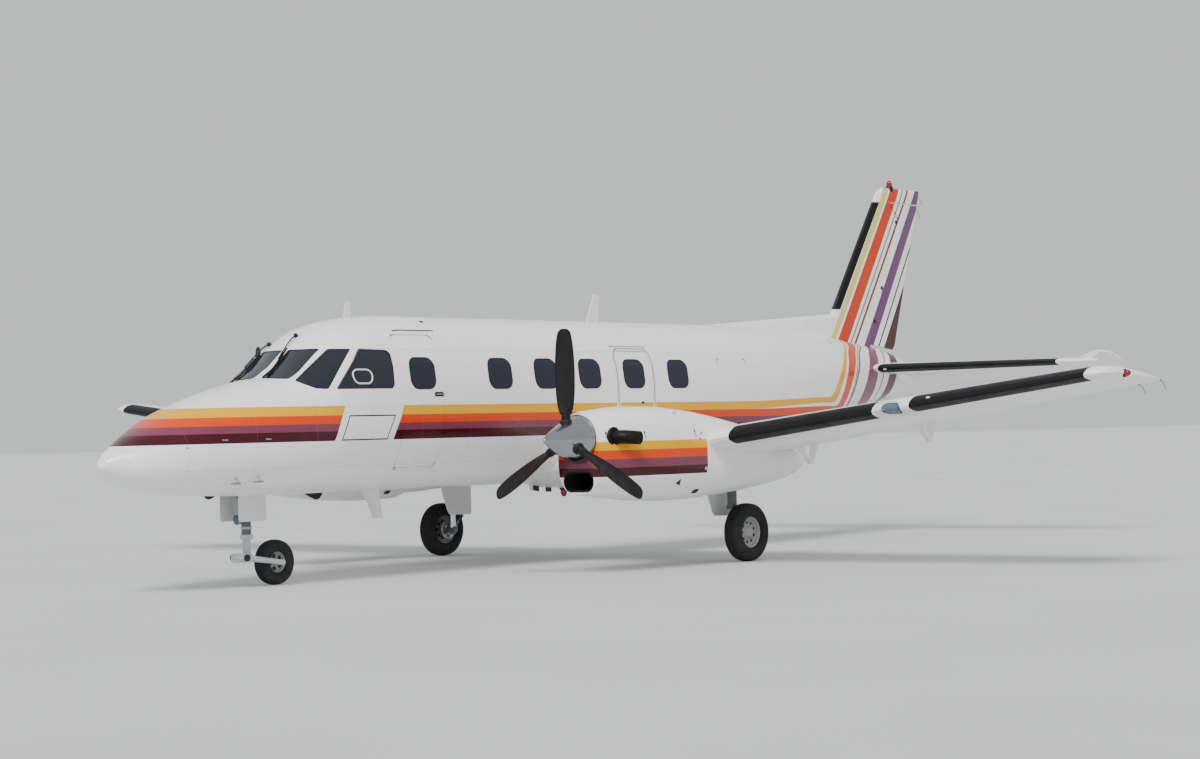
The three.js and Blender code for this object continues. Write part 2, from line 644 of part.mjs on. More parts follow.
// radius, chord, thickness, pitch in degrees
const bladeTable = [
  [266, 118, 74, 48],
  [350, 168, 46, 42],
  [520, 205, 30, 34],
  [760, 218, 20, 26],
  [980, 200, 14, 21],
  [1120, 160, 10, 19],
  [propellerDiameter / 2, 70, 7, 18],
];

function bladeSolid() {
  const rings = bladeTable.map(([radius, chord, thick, pitch]) => {
    const outline = [[-0.5, 0], [-0.24, 0.45], [0.24, 0.45], [0.5, 0], [0.24, -0.4], [-0.24, -0.4]];
    const turn = radians(pitch);
    return outline.map(([a, b]) => {
      const [along, across] = [a * chord, b * thick];
      return new THREE.Vector3(along * Math.cos(turn) - across * Math.sin(turn),
        aft(propeller.plane) + along * Math.sin(turn) + across * Math.cos(turn), radius);
    });
  });
  const root = rod([0, propeller.plane, 60], [0, propeller.plane, 300], propeller.rootRadius, 44, 8);
  return loft(rings).add(root);
}

const blade = bladeSolid();
let propellerSolid = rod([0, propeller.hubFront, 0], [0, engine.flange, 0], propeller.hubRadius,
  propeller.hubRadius, 16);
let spinnerHoles = rod([0, propeller.hubFront - fit, 0], [0, 4700, 0], propeller.hubRadius + fit,
  propeller.hubRadius + fit, 16);
for (let i = 0; i < propeller.blades; i++) {
  const turn = [0, (360 / propeller.blades) * i, 0];
  propellerSolid = propellerSolid.add(blade.rotate(turn));
  spinnerHoles = spinnerHoles.add(
    rod([0, propeller.plane, 40], [0, propeller.plane, 400], 62, 62, 8).rotate(turn));
}
// spinner: radius against station, nose to back plate
const spinnerProfile = [[0, 3995], [30, 4026], [61, 4077], [100, 4148], [143, 4242], [183, 4335], [221, 4434],
  [243, 4500], [254, 4547], [0, 4547]];
const spinner = turned(spinnerProfile, 'y', [0, 0, 0], 24).subtract(spinnerHoles);
const onShaft = (solid) => solid.translate([nacelleX, 0, shaftHeight]);
placePair('propeller', onShaft(propellerSolid), 'black');
placePair('spinner', onShaft(spinner), 'bare');

// Tail
const finLine = { lowZ: 2450, highZ: 4920 };
const finLead = (z) => 12809 + (z - 3080) * 0.685;
const finTrail = (z) => noseTip + overallLength - (finLine.highZ - z) * 0.332;
const finFoil = {
  chord: (z) => finTrail(z) - finLead(z),
  ratio: () => 0.095,
  camber: () => 0,
  point: (z, u, v) => new THREE.Vector3(v, aft(finLead(z) + u * (finTrail(z) - finLead(z))), z),
};
const finSolid = loft([
  ...[finLine.lowZ, 3400, 4790].map((z) => foilRing(finFoil, z)),
  foilRing(finFoil, 4880, { chordShare: 0.985, thickShare: 0.82, mid: 1 }),
  foilRing(finFoil, finLine.highZ, { chordShare: 0.9, thickShare: 0.35, mid: 1 }),
]);
// Dorsal fillet ahead of the fin: station, ridge height, half thickness at its foot
const dorsal = [[9790, 2876, 8], [10600, 2930, 30], [11700, 3005, 48], [12850, 3085, 60], [13100, 3120, 60]];
const dorsalSolid = loft(dorsal.map(([station, ridge, half]) => [
  [half, 2500], [half, ridge - 60], [half * 0.35, ridge], [-half * 0.35, ridge], [-half, ridge - 60],
  [-half, 2500],
].map(([x, z]) => new THREE.Vector3(x, aft(station), z))));

const rudder = { foot: 2668, top: 4700, capBottom: 4718 };
const hingeSlope = 0.4468;
const rudderHinge = (z) => 13690 + (z - 2600) * hingeSlope;
const rudderAt = (z) => (rudderHinge(z) - finLead(z)) / finFoil.chord(z);
const horn = [[14545, 4450], [14478, 4533], [14290, rudder.top], [14850, rudder.top]];
const hornClear = [[14545, 4410], [14452, 4512], [14260, rudder.capBottom], [14900, rudder.capBottom]];
const belowRudder = sidePlate([[13300, rudder.foot + 41], [14900, rudder.foot - 122], [14900, 2300],
  [13300, 2300]],
  -300, 300);
const rudderAxis = [0, hingeSlope, 1];
const rudderFoot = [0, rudderHinge(rudder.foot), rudder.foot];
const [rudderStub] = hingeStubs(rudderFoot, [0, -hingeSlope, -1], 50, 22);
const rudderSolid = joined(
  hinged(finFoil, [2500, rudder.top], rudderAt, 0).subtract(belowRudder),
  finSolid.intersect(sidePlate(horn, -300, 300)),
  rudderStub,
);
const rudderCove = hinged(finFoil, [2300, rudder.capBottom], rudderAt, running + 4);
const fin = joined(finSolid.subtract(rudderCove).subtract(sidePlate(hornClear, -300, 300)), dorsalSolid)
  .subtract(wholeBody(fit));
place('fin', fin, 'white');
place('rudder', rudderSolid, 'white');

// Tailplane with horn-balanced elevators that droop onto their lower stop when parked
const tail = { height: 2320, semiSpan: 3770, hinge: 14130, inboard: 290, droop: 20 };
const tailLead = (x) => 13300 + 0.12 * x;
const tailTrail = (x) => 14700 - 0.058 * x;
const tailFoil = {
  chord: (x) => tailTrail(x) - tailLead(x),
  ratio: () => 0.12,
  camber: () => 0,
  point: (x, u, v) => new THREE.Vector3(x, aft(tailLead(x) + u * (tailTrail(x) - tailLead(x))),
    tail.height + v),
};
const elevatorAt = (x) => (tail.hinge - tailLead(x)) / tailFoil.chord(x);
const tailTip = [[3600, 0.96, 0.9], [3710, 0.84, 0.66], [tail.semiSpan, 0.6, 0.25]];
const tailHalf = loft([
  ...[0, 1800, 3400].map((x) => foilRing(tailFoil, x)),
  ...tailTip.map(([x, chordShare, thickShare]) => foilRing(tailFoil, x, { chordShare, thickShare })),
]);
const tailHalfGrown = loft([0, 1800].map((x) => foilRing(tailFoil, x, { grow: fit })));
const elevatorCove = hinged(tailFoil, [-50, 4000], elevatorAt, running + 1);
// The horn: outboard of a slanting line that runs from the hinge to the leading edge
const tailHorn = { inner: 3050, slant: 0.641, gap: 24 };
const hornPlan = (gap) => planPlate([[tailHorn.inner, tail.hinge - gap],
  [4000, tail.hinge - gap - (4000 - tailHorn.inner) * tailHorn.slant], [4000, 15000],
  [tailHorn.inner, 15000]], 2000, 2700);
const fixedHalf = tailHalf.subtract(elevatorCove).subtract(hornPlan(tailHorn.gap));
const spar = { station: 14055, halfWidth: 250 }; // where the tailplane ends inside the tail cone
const insideCone = (station) => box([-spar.halfWidth, station, 2000], [spar.halfWidth, 15000, 2700]);
const tailplane = fixedHalf.add(mirrored(fixedHalf)).subtract(insideCone(spar.station - fit));
const slotHalf = tailHalfGrown.subtract(box([-100, spar.station, 2000], [2000, 15000, 2700]));

const pivotTube = { radius: 26, coneFace: 232 };
const elevatorNeutral = joined(
  hinged(tailFoil, [tail.inboard, tailHorn.inner + 20], elevatorAt, 0), tailHalf.intersect(hornPlan(0)),
  rod([pivotTube.coneFace + fit, tail.hinge, tail.height], [tail.inboard + 20, tail.hinge, tail.height],
    pivotTube.radius),
);
const aboutHinge = (solid, degrees) => solid.translate([0, -aft(tail.hinge), -tail.height])
  .rotate([degrees, 0, 0]).translate([0, aft(tail.hinge), tail.height]);
const elevator = aboutHinge(elevatorNeutral, -tail.droop);

const coneBoss = rod([-pivotTube.coneFace, tail.hinge, tail.height],
  [pivotTube.coneFace, tail.hinge, tail.height], 34);
const tailSlot = slotHalf.add(mirrored(slotHalf));
const [, rudderBoss] = hingeStubs(rudderFoot, [0, -hingeSlope, -1], 50, 26);
const tailCone = joined(body(tailBreak, coneEnd).subtract(tailSlot), coneBoss, rudderBoss);
place('tail_cone', tailCone, 'white');
place('tailplane', tailplane, 'white');
placePair('elevator', elevator, 'white');

const ventralFin = sidePlate([[12500, 1650], [14200, 2050], [14180, 1790], [13500, 1420], [13200, 1400]],
  -12, 12)
  .subtract(wholeBody(fit));
place('ventral_fin', ventralFin, 'white');

// Aerials: blade outlines in side view
place('aerial_forward', sidePlate([[3440, 2800], [3550, 2800], [3550, 3030], [3500, 3042]], -9, 9)
  .subtract(wholeBody(fit)), 'black');
place('aerial_aft', sidePlate([[7530, 2800], [7775, 2800], [7825, 3205], [7738, 3225]], -11, 11)
  .subtract(wholeBody(fit)), 'whiteMetal');
place('aerial_belly', sidePlate([[3330, 1100], [3620, 1100], [3680, 655], [3560, 650]], -11, 11)
  .translate([300, 0, 0]).subtract(wholeBody(fit)), 'white');

// Wheels: profiles are [radius, distance from the wheel's middle plane]
const mainWheel = { radius: 335, halfWidth: 105, rim: 178, x: track / 2 };
const noseWheel = { radius: 240, halfWidth: 82, rim: 110, x: 0 };

function tyreProfile({ radius, halfWidth, rim }) {
  const half = [[rim, 0.62], [rim + 0.25 * (radius - rim), 0.92], [rim + 0.6 * (radius - rim), 1],
    [rim + 0.9 * (radius - rim), 0.78], [radius, 0.34]];
  const side = (sign) => half.map(([r, share]) => [r, sign * share * halfWidth]);
  return [...side(-1), ...side(1).reverse(), side(-1)[0]];
}

function rimProfile({ halfWidth, rim }) {
  const half = [[0, 0.5], [rim * 0.36, 0.5], [rim * 0.42, 0.25], [rim * 0.84, 0.25], [rim - fit, 0.6]];
  const side = (sign) => half.map(([r, share]) => [r, sign * share * halfWidth]);
  return [...side(-1), ...side(1).reverse()];
}

const wheelAt = (wheel, station) => [
  turned(tyreProfile(wheel), 'x', [wheel.x, station, wheel.radius], 20),
  turned(rimProfile(wheel), 'x', [wheel.x, station, wheel.radius], 20),
];
const [mainTyre, mainRim] = wheelAt(mainWheel, mainWheelStation);
const [noseTyre, noseRim] = wheelAt(noseWheel, noseWheelStation);
placePair('main_tyre', mainTyre, 'tyre');
placePair('main_rim', mainRim, 'bare');
place('nose_tyre', noseTyre, 'tyre');
place('nose_rim', noseRim, 'bare');

// Main legs: strut inboard of the wheel, torque links behind, drag brace ahead
const leg = { x: mainWheel.x - 195, radius: 58, piston: 40, collar: 610 };
const axleHeight = mainWheel.radius;
const rimFace = mainWheel.x - 0.5 * mainWheel.halfWidth;
const legSolid = joined(
  rod([leg.x, mainWheelStation, leg.collar], [leg.x, mainWheelStation, mainBay.roof - fit], leg.radius),
  rod([leg.x, mainWheelStation, axleHeight - 60], [leg.x, mainWheelStation, leg.collar + 20], leg.piston),
  rod([leg.x, mainWheelStation, leg.collar - 12], [leg.x, mainWheelStation, leg.collar + 34],
    leg.radius + 12),
  rod([leg.x - 50, mainWheelStation, axleHeight], [rimFace - fit, mainWheelStation, axleHeight], 44),
  rod([leg.x, mainWheelStation, 850], [leg.x, 6960, mainBay.roof - 24], 26),
  rod([leg.x - 60, 6960, mainBay.roof - 26 - fit], [leg.x + 60, 6960, mainBay.roof - 26 - fit], 26),
  sidePlate([[7500, 590], [7500, 640], [7640, 520], [7640, 480]], leg.x - 26, leg.x + 26),
  sidePlate([[7500, 350], [7500, 400], [7640, 520], [7640, 480]], leg.x - 26, leg.x + 26),
);
placePair('main_leg', legSolid, 'whiteMetal');
const mainDoor = sidePlate(roundOutline([[7150, 1000], [7165, 810], [7250, 600], [7290, 530], [7690, 520],
  [7690, 1000]], 30), mainBay.inner + fit, mainBay.inner + fit + 12);
placePair('main_gear_door', mainDoor, 'white');

// Nose leg: fixed strut, and below it the steered part with its trailing arm
const nose = { station: 1975, strutRadius: 52, swivel: 550, pivot: [1838, 314], armX: 124 };
const noseStrut = joined(
  rod([0, nose.station, nose.swivel], [0, nose.station, noseBay.roof - fit], nose.strutRadius),
  rod([0, nose.station, 900], [0, 1560, noseBay.roof - 30], 22),
  rod([-60, 1560, noseBay.roof - 22 - fit], [60, 1560, noseBay.roof - 22 - fit], 22),
);
const noseRimFace = 0.5 * noseWheel.halfWidth;
const noseFork = joined(
  rod([0, nose.station, 290], [0, nose.station, nose.swivel - fit], 42),
  rod([0, nose.station, 500], [0, nose.station, nose.swivel - fit], 70),
  rod([-46, nose.pivot[0], nose.pivot[1]], [nose.armX + 24, nose.pivot[0], nose.pivot[1]], 44),
  rod([nose.armX, nose.pivot[0], nose.pivot[1]], [nose.armX, noseWheelStation, noseWheel.radius], 34, 26),
  rod([noseRimFace + fit, noseWheelStation, noseWheel.radius],
    [nose.armX + 22, noseWheelStation, noseWheel.radius], 30),
  box([-40, 1800, 262], [40, 2010, 350]),
);
place('nose_strut', noseStrut, 'whiteMetal');
place('nose_fork', noseFork, 'whiteMetal');
const noseDoor = sidePlate(roundOutline(rectangle(1745, 690, 2125, 1020), 30), noseBay.halfWidth - fit - 8,
  noseBay.halfWidth - fit);
placePair('nose_gear_door', noseDoor, 'white');

// Flight deck fittings
const panelDeck = joined(
  box([-560, 2080, 1500], [560, 2140, 2080]),
  box([-600, 2010, 2080], [600, 2300, 2110]),
  box([-130, 2130, floorHeight + fit], [130, 2520, 1620]),
  box([-560, 2080, floorHeight + fit], [-520, 2140, 1510]),
  box([520, 2080, floorHeight + fit], [560, 2140, 1510]),
  ...[-350, 350].flatMap((x) => [
    rod([x, 2130, 1800], [x, 2420, 1830], 16),
    box([x - 130, 2405, 1815], [x + 130, 2435, 1845]),
    box([x - 130, 2405, 1815], [x - 100, 2435, 1920]),
    box([x + 100, 2405, 1815], [x + 130, 2435, 1920]),
  ]),
).intersect(deckTube(-4));
place('instrument_panel', panelDeck, 'interior');
const seat = joined(
  sidePlate([[2620, 1560], [3080, 1530], [3080, 1640], [2640, 1690]], 190, 610),
  sidePlate([[3020, 1530], [3110, 1530], [3230, 2230], [3130, 2250]], 190, 610),
  sidePlate([[2720, floorHeight + fit], [3040, floorHeight + fit], [3040, 1560], [2720, 1570]], 300, 500),
);
placePair('seat', seat, 'leather');

export default group;
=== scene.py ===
import bmesh
import bpy
import math
from mathutils import Matrix, Vector
from mathutils.bvhtree import BVHTree


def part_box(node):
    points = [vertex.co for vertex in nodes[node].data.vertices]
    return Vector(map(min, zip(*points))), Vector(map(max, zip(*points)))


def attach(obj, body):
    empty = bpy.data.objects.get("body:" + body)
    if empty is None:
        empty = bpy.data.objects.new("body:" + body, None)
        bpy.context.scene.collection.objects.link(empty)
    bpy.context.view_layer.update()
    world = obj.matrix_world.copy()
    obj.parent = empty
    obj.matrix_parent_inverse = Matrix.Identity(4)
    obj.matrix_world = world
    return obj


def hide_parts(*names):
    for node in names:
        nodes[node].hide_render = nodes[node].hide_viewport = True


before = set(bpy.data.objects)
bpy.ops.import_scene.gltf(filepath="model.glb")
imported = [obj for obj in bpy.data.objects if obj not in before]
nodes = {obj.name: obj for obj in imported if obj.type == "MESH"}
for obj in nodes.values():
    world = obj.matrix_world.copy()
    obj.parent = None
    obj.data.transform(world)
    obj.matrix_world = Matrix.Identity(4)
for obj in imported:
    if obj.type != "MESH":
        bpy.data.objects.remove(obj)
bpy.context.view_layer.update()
print("frame loaded:", len(nodes), "nodes")

# Metres, nose towards -Y, port wing towards +X. A station is the distance aft of a datum
# just ahead of the nose, as on the real aircraft's drawings.
noseStation = 0.05
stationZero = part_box("nose_cone")[0].y - noseStation
sides = ((1, "port"), (-1, "starboard"))


def aft(station):
    return station + stationZero


# Camera at the photograph's angle; the long lens is worked out from its field of view
camera = {"place": (19.6403, -23.2118, 1.5519), "yaw": 0.69779, "pitch": 0.020446, "roll": -0.024434,
          "lens": 74.53, "sensor": 36, "farthest": 400}
cameraData = bpy.data.cameras.new("photoCamera")
cameraData.lens = camera["lens"]
cameraData.sensor_width = camera["sensor"]
cameraData.clip_end = camera["farthest"]
cameraObject = bpy.data.objects.new("photoCamera", cameraData)
bpy.context.scene.collection.objects.link(cameraObject)
cameraObject.matrix_world = (
    Matrix.Translation(camera["place"]) @ Matrix.Rotation(camera["yaw"], 4, "Z")
    @ Matrix.Rotation(math.pi / 2 + camera["pitch"], 4, "X") @ Matrix.Rotation(camera["roll"], 4, "Z")
)
bpy.context.scene.camera = cameraObject


# Materials

def linear(hexColour):
    parts = [int(hexColour[i:i + 2], 16) / 255 for i in (0, 2, 4)]
    return tuple(c / 12.92 if c <= 0.04045 else ((c + 0.055) / 1.055) ** 2.4 for c in parts) + (1,)


def add(tree, kind, settings=None, links=None):
    # links gives a socket a plain value, another socket, or a node whose first output is meant
    node = tree.nodes.new(kind)
    for name, value in (settings or {}).items():
        setattr(node, name, value)
    for name, value in (links or {}).items():
        if isinstance(value, bpy.types.Node):
            value = value.outputs[0]
        if isinstance(value, bpy.types.NodeSocket):
            tree.links.new(value, node.inputs[name])
        else:
            node.inputs[name].default_value = value
    return node


def newMaterial(name):
    material = bpy.data.materials.new(name)
    material.use_nodes = True
    tree = material.node_tree
    tree.nodes.clear()
    shader = add(tree, "ShaderNodeBsdfPrincipled")
    add(tree, "ShaderNodeOutputMaterial", links={"Surface": shader})
    place = add(tree, "ShaderNodeTexCoord").outputs["Object"]
    return material, tree, shader, place


# The part of the cloud noise that is used, how dark its patches go, and the strength of a grain's bump
finish = {"cloud": (0.3, 0.7), "dark": 0.82, "bump": 0.6}


def unevenGloss(tree, shader, place, size, roughness, spread):
    # soft cloudy patches of size metres, in which the roughness strays by spread either way
    cloud = add(tree, "ShaderNodeTexNoise", links={"Vector": place, "Scale": 1 / size, "Detail": 4.0})
    low, high = finish["cloud"]
    gloss = add(tree, "ShaderNodeMapRange",
                links={"Value": cloud, "From Min": low, "From Max": high,
                       "To Min": roughness - spread, "To Max": roughness + spread})
    tree.links.new(gloss.outputs[0], shader.inputs["Roughness"])
    return cloud


def finishMaterial(name, colour, roughness, spread, patch, metallic=0.0, grain=None, settings=None):
    # patch is the size of the cloudy patches, with which the shade strays a little too; grain is
    # (size, height of its bump), all in metres
    material, tree, shader, place = newMaterial(name)
    cloud = unevenGloss(tree, shader, place, patch, roughness, spread)
    darker = tuple(finish["dark"] * c for c in linear(colour)[:3]) + (1,)
    shade = add(tree, "ShaderNodeMix", {"data_type": "RGBA"}, {0: cloud, 6: linear(colour), 7: darker})
    tree.links.new(shade.outputs[2], shader.inputs["Base Color"])
    shader.inputs["Metallic"].default_value = metallic
    for socket, value in (settings or {}).items():
        shader.inputs[socket].default_value = value
    if grain:
        size, height = grain
        pores = add(tree, "ShaderNodeTexNoise", links={"Vector": place, "Scale": 1 / size, "Detail": 3.0})
        bump = add(tree, "ShaderNodeBump",
                   links={"Height": pores, "Distance": height, "Strength": finish["bump"]})
        tree.links.new(bump.outputs[0], shader.inputs["Normal"])
    return material


def between(tree, value, low, high, within=1.0):
    # 1 where value lies between low and high and within is 1 too
    near = add(tree, "ShaderNodeMath", {"operation": "COMPARE"},
               {0: value, 1: (low + high) / 2, 2: (high - low) / 2})
    return add(tree, "ShaderNodeMath", {"operation": "MULTIPLY"}, {0: near, 1: within})


def paintOver(tree, ground, mask, colour):
    # ground stays where mask is 0
    mixed = add(tree, "ShaderNodeMix", {"data_type": "RGBA"}, {0: mask, 6: ground, 7: linear(colour)})
    return mixed.outputs[2]


def plateJoints(tree, value, pitch, width):
    # 1 on a joint line at every pitch along value
    folded = add(tree, "ShaderNodeMath", {"operation": "PINGPONG"}, {0: value, 1: pitch / 2})
    return add(tree, "ShaderNodeMath", {"operation": "LESS_THAN"}, {0: folded, 1: width / 2})


# On the fin the orange and the mauve are the fuselage's paints in a shaded tone: painted shade
paint = {
    "white": "F7F7F5", "yellow": "F0AE00", "orange": "E04200", "mauve": "7C384E", "maroon": "430012",
    "khaki": "D6CC78", "finOrangeShaded": "CC3A05", "finMauveShaded": "6A4166", "olive": "8A8468", "rust": "86332E",
    "black": "101118",
}
# Stripes from top to bottom and from the fin's nose back: the colour on the fuselage, the colour on the
# fin, then for the front and the back edge the level along the fuselage, how much that level climbs
# towards the tail, and the station at the fin's foot and the lean on the tail cone and on the fin
stripes = [
    ("yellow", "khaki", (1.876, 0.05, (12.60, 0.882), (12.672, 0.674)),
     (1.775, 0.075, (12.67, 0.73), (12.780, 0.678))),
    ("orange", "finOrangeShaded", (1.775, 0.03, (12.70, 0.60), (12.832, 0.673)),
     (1.687, 0.0, (12.966, 0.69), (13.078, 0.666))),
    ("olive", "olive", (1.687, 0.0, (12.99, 0.60), (13.146, 0.676)),
     (1.687, 0.0, (13.02, 0.60), (13.182, 0.676))),
    ("rust", "rust", (1.687, 0.0, (13.055, 0.65), (13.247, 0.687)),
     (1.687, 0.0, (13.105, 0.65), (13.302, 0.687))),
    ("mauve", "finMauveShaded", (1.687, 0.0, (13.41, 0.60), (13.532, 0.665)),
     (1.609, 0.0, (13.66, 0.42), (13.786, 0.649))),
    ("black", "black", (1.609, 0.0, (13.88, 0.52), (13.925, 0.657)),
     (1.609, 0.0, (13.91, 0.52), (13.963, 0.657))),
    ("maroon", "maroon", (1.609, 0.0, (14.09, 0.50), (14.104, 0.66)),
     (1.509, 0.0, (14.36, 0.50), (14.40, 0.66))),
]
# where the stripes bend up and cross from the cone to the fin, as stations and levels
sweepUp = {"climb": (9.6, 12.0), "foot": (2.50, 2.67), "footMiddle": 2.67, "bend": 0.16}
# blank panel let into the stripes: middle station at its middle height, lean, half widths, border
blankPanel = {"station": 3.01, "z": 1.6925, "lean": 0.39, "half": 0.425, "boxHalf": 0.335, "line": 0.014}
# trim panels inside the door and the flight deck: faces that look towards the middle of the cabin
lining = {"colour": "A9A8A2", "axis": (0, 0, 1.75), "stations": (2.25, 4.7), "least": -0.03}


def placeAlong(tree, place):
    # the station and the level of each point
    split = add(tree, "ShaderNodeSeparateXYZ", links={0: place})
    y, z = split.outputs["Y"], split.outputs["Z"]
    return add(tree, "ShaderNodeMath", {"operation": "SUBTRACT"}, {0: y, 1: stationZero}), z


def insideEdge(tree, station, z, climb, onFin, edge):
    # 1 above the edge's level and ahead of its leaning line, with a rounded bend between them
    level, rise, (coneFoot, coneLean), (finFoot, finLean) = edge
    up = add(tree, "ShaderNodeMath", {"operation": "SUBTRACT"}, {0: z, 1: sweepUp["footMiddle"]})
    cone = add(tree, "ShaderNodeMath", {"operation": "MULTIPLY_ADD"}, {0: up, 1: coneLean, 2: coneFoot})
    fin = add(tree, "ShaderNodeMath", {"operation": "MULTIPLY_ADD"}, {0: up, 1: finLean, 2: finFoot})
    line = add(tree, "ShaderNodeMix", {"data_type": "FLOAT"}, {0: onFin, 2: cone, 3: fin})
    ahead = add(tree, "ShaderNodeMath", {"operation": "SUBTRACT"}, {0: line, 1: station})
    raised = add(tree, "ShaderNodeMath", {"operation": "MULTIPLY_ADD"}, {0: climb, 1: rise, 2: level})
    above = add(tree, "ShaderNodeMath", {"operation": "SUBTRACT"}, {0: z, 1: raised})
    near = add(tree, "ShaderNodeMath", {"operation": "SMOOTH_MIN"},
               {0: ahead, 1: above, 2: sweepUp["bend"]})
    return add(tree, "ShaderNodeMath", {"operation": "GREATER_THAN"}, {0: near, 1: 0.0})


def insideCabin(tree, place, station):
    facing = add(tree, "ShaderNodeTexCoord").outputs["Normal"]
    out = add(tree, "ShaderNodeVectorMath", {"operation": "SUBTRACT"}, {0: place, 1: lining["axis"]})
    across = add(tree, "ShaderNodeVectorMath", {"operation": "MULTIPLY"}, {0: out, 1: (1, 0, 1)})
    along = add(tree, "ShaderNodeVectorMath", {"operation": "DOT_PRODUCT"}, {0: across, 1: facing})
    inward = add(tree, "ShaderNodeMath", {"operation": "LESS_THAN"},
                 {0: along.outputs["Value"], 1: lining["least"]})
    return between(tree, station, *lining["stations"], inward)


def liveryColour(tree, place):
    station, z = placeAlong(tree, place)
    climb, onFin = (
        add(tree, "ShaderNodeMapRange", {"interpolation_type": "SMOOTHSTEP"},
            {"Value": value, "From Min": sweepUp[key][0], "From Max": sweepUp[key][1]})
        for value, key in ((station, "climb"), (z, "foot"))
    )
    lean = blankPanel["lean"]
    leaning = add(tree, "ShaderNodeMath", {"operation": "MULTIPLY_ADD"},
                  {0: z, 1: -lean, 2: lean * blankPanel["z"] - blankPanel["station"]})
    across = add(tree, "ShaderNodeMath", {"operation": "ADD"}, {0: station, 1: leaning})
    gap = between(tree, across, -blankPanel["half"], blankPanel["half"])
    striped = add(tree, "ShaderNodeMath", {"operation": "SUBTRACT"}, {0: 1.0, 1: gap})
    colour = linear(paint["white"])
    for low, high, front, back in stripes:
        ring = add(tree, "ShaderNodeMath", {"operation": "SUBTRACT", "use_clamp": True},
                   {0: insideEdge(tree, station, z, climb, onFin, back),
                    1: insideEdge(tree, station, z, climb, onFin, front)})
        mask = add(tree, "ShaderNodeMath", {"operation": "MULTIPLY"}, {0: ring, 1: striped})
        shade = paintOver(tree, linear(paint[low]), onFin, paint[high])
        painted = add(tree, "ShaderNodeMix", {"data_type": "RGBA"}, {0: mask, 6: colour, 7: shade})
        colour = painted.outputs[2]
    half, line = blankPanel["boxHalf"], blankPanel["line"]
    top, low = stripes[0][3][0], stripes[-1][3][0]
    outer = between(tree, across, -half, half, between(tree, z, low, top))
    inner = between(tree, across, line - half, half - line, between(tree, z, low + line, top - line))
    colour = paintOver(tree, colour, outer, paint["black"])
    colour = paintOver(tree, colour, inner, paint["white"])
    return paintOver(tree, colour, insideCabin(tree, place, station), lining["colour"]), station, z


# The film on the sheets: dust in patches of 0.9 m, sheets that ripple over 0.45 m by 1.5 mm, and plate
# joints, which are 1 mm wide on the real one and are drawn 6 mm wide and faint so that they show
film = {"dustNoise": {"Scale": 1.1, "Detail": 6.0, "Roughness": 0.6}, "dustFrom": (0.45, 0.75),
        "dustMost": 0.03, "dust": "A8A596", "joint": 0.006, "jointShare": 0.22, "jointColour": "6E7276",
        "gloss": (0.9, 0.24, 0.06), "ripple": {"Scale": 2.2, "Detail": 1.0},
        "bump": {"Distance": 0.0015, "Strength": 0.5},
        "sockets": {"Coat Weight": 0.12, "Coat Roughness": 0.06, "Specular IOR Level": 0.3}}


def paintedSkin(name, colourOf, jointPitch, levelPitch):
    # Two-pack polyurethane over aluminium sheet: sprayed, so it is smooth and glossy with a clear
    # deep reflection, and only the plate joints and a thin film of dust break it
    material, tree, shader, place = newMaterial(name)
    colour, station, level = colourOf(tree, place)
    dust = add(tree, "ShaderNodeTexNoise", links={"Vector": place, **film["dustNoise"]})
    low, high = film["dustFrom"]
    haze = add(tree, "ShaderNodeMapRange", links={"Value": dust, "From Min": low, "From Max": high,
                                                  "To Min": 0.0, "To Max": film["dustMost"]})
    colour = paintOver(tree, colour, haze, film["dust"])
    joints = add(tree, "ShaderNodeMath", {"operation": "MAXIMUM"},
                 {0: plateJoints(tree, station, jointPitch, film["joint"]),
                  1: plateJoints(tree, level, levelPitch, film["joint"])})
    faint = add(tree, "ShaderNodeMath", {"operation": "MULTIPLY"}, {0: joints, 1: film["jointShare"]})
    colour = paintOver(tree, colour, faint, film["jointColour"])
    tree.links.new(colour, shader.inputs["Base Color"])
    unevenGloss(tree, shader, place, *film["gloss"])
    for socket, value in film["sockets"].items():
        shader.inputs[socket].default_value = value
    ripple = add(tree, "ShaderNodeTexNoise", links={"Vector": place, **film["ripple"]})
    height = add(tree, "ShaderNodeMath", {"operation": "SUBTRACT"}, {0: ripple, 1: joints})
    bump = add(tree, "ShaderNodeBump", links={"Height": height, **film["bump"]})
    tree.links.new(bump.outputs[0], shader.inputs["Normal"])
    return material


# cowl stripes: colour, upper edge, lower edge; they end at the wing's leading edge fairing
cowlStripes = {"end": 6.23, "bands": (("yellow", 1.428, 1.335), ("orange", 1.335, 1.241),
                                      ("mauve", 1.241, 1.147), ("maroon", 1.147, 1.055))}


def cowlColour(tree, place):
    station, z = placeAlong(tree, place)
    ahead = add(tree, "ShaderNodeMath", {"operation": "LESS_THAN"}, {0: station, 1: cowlStripes["end"]})
    colour = linear(paint["white"])
    for name, top, low in cowlStripes["bands"]:
        colour = paintOver(tree, colour, between(tree, z, low, top, ahead), paint[name])
    return colour, station, z


def plainWhite(tree, place):
    split = add(tree, "ShaderNodeSeparateXYZ", links={0: place})
    return linear(paint["white"]), split.outputs["X"], split.outputs["Y"]


# sheet lengths and heights in metres; a cowl's sides are single sheets, so its second pitch is out of reach
fuselagePaint = paintedSkin("fuselagePolyurethane", liveryColour, 0.76, 0.62)
cowlPaint = paintedSkin("cowlPolyurethane", cowlColour, 0.82, 5.0)
wingPaint = paintedSkin("wingPolyurethane", plainWhite, 0.9, 0.55)

# Laminated acrylic, cast and polished, tinted dark: sharp reflections over a dim inside
windowGlass = finishMaterial("tintedAcrylic", "5C6780", 0.04, spread=0.02, patch=0.4,
                             settings={"Transmission Weight": 0.9, "IOR": 1.49, "Specular IOR Level": 0.3})
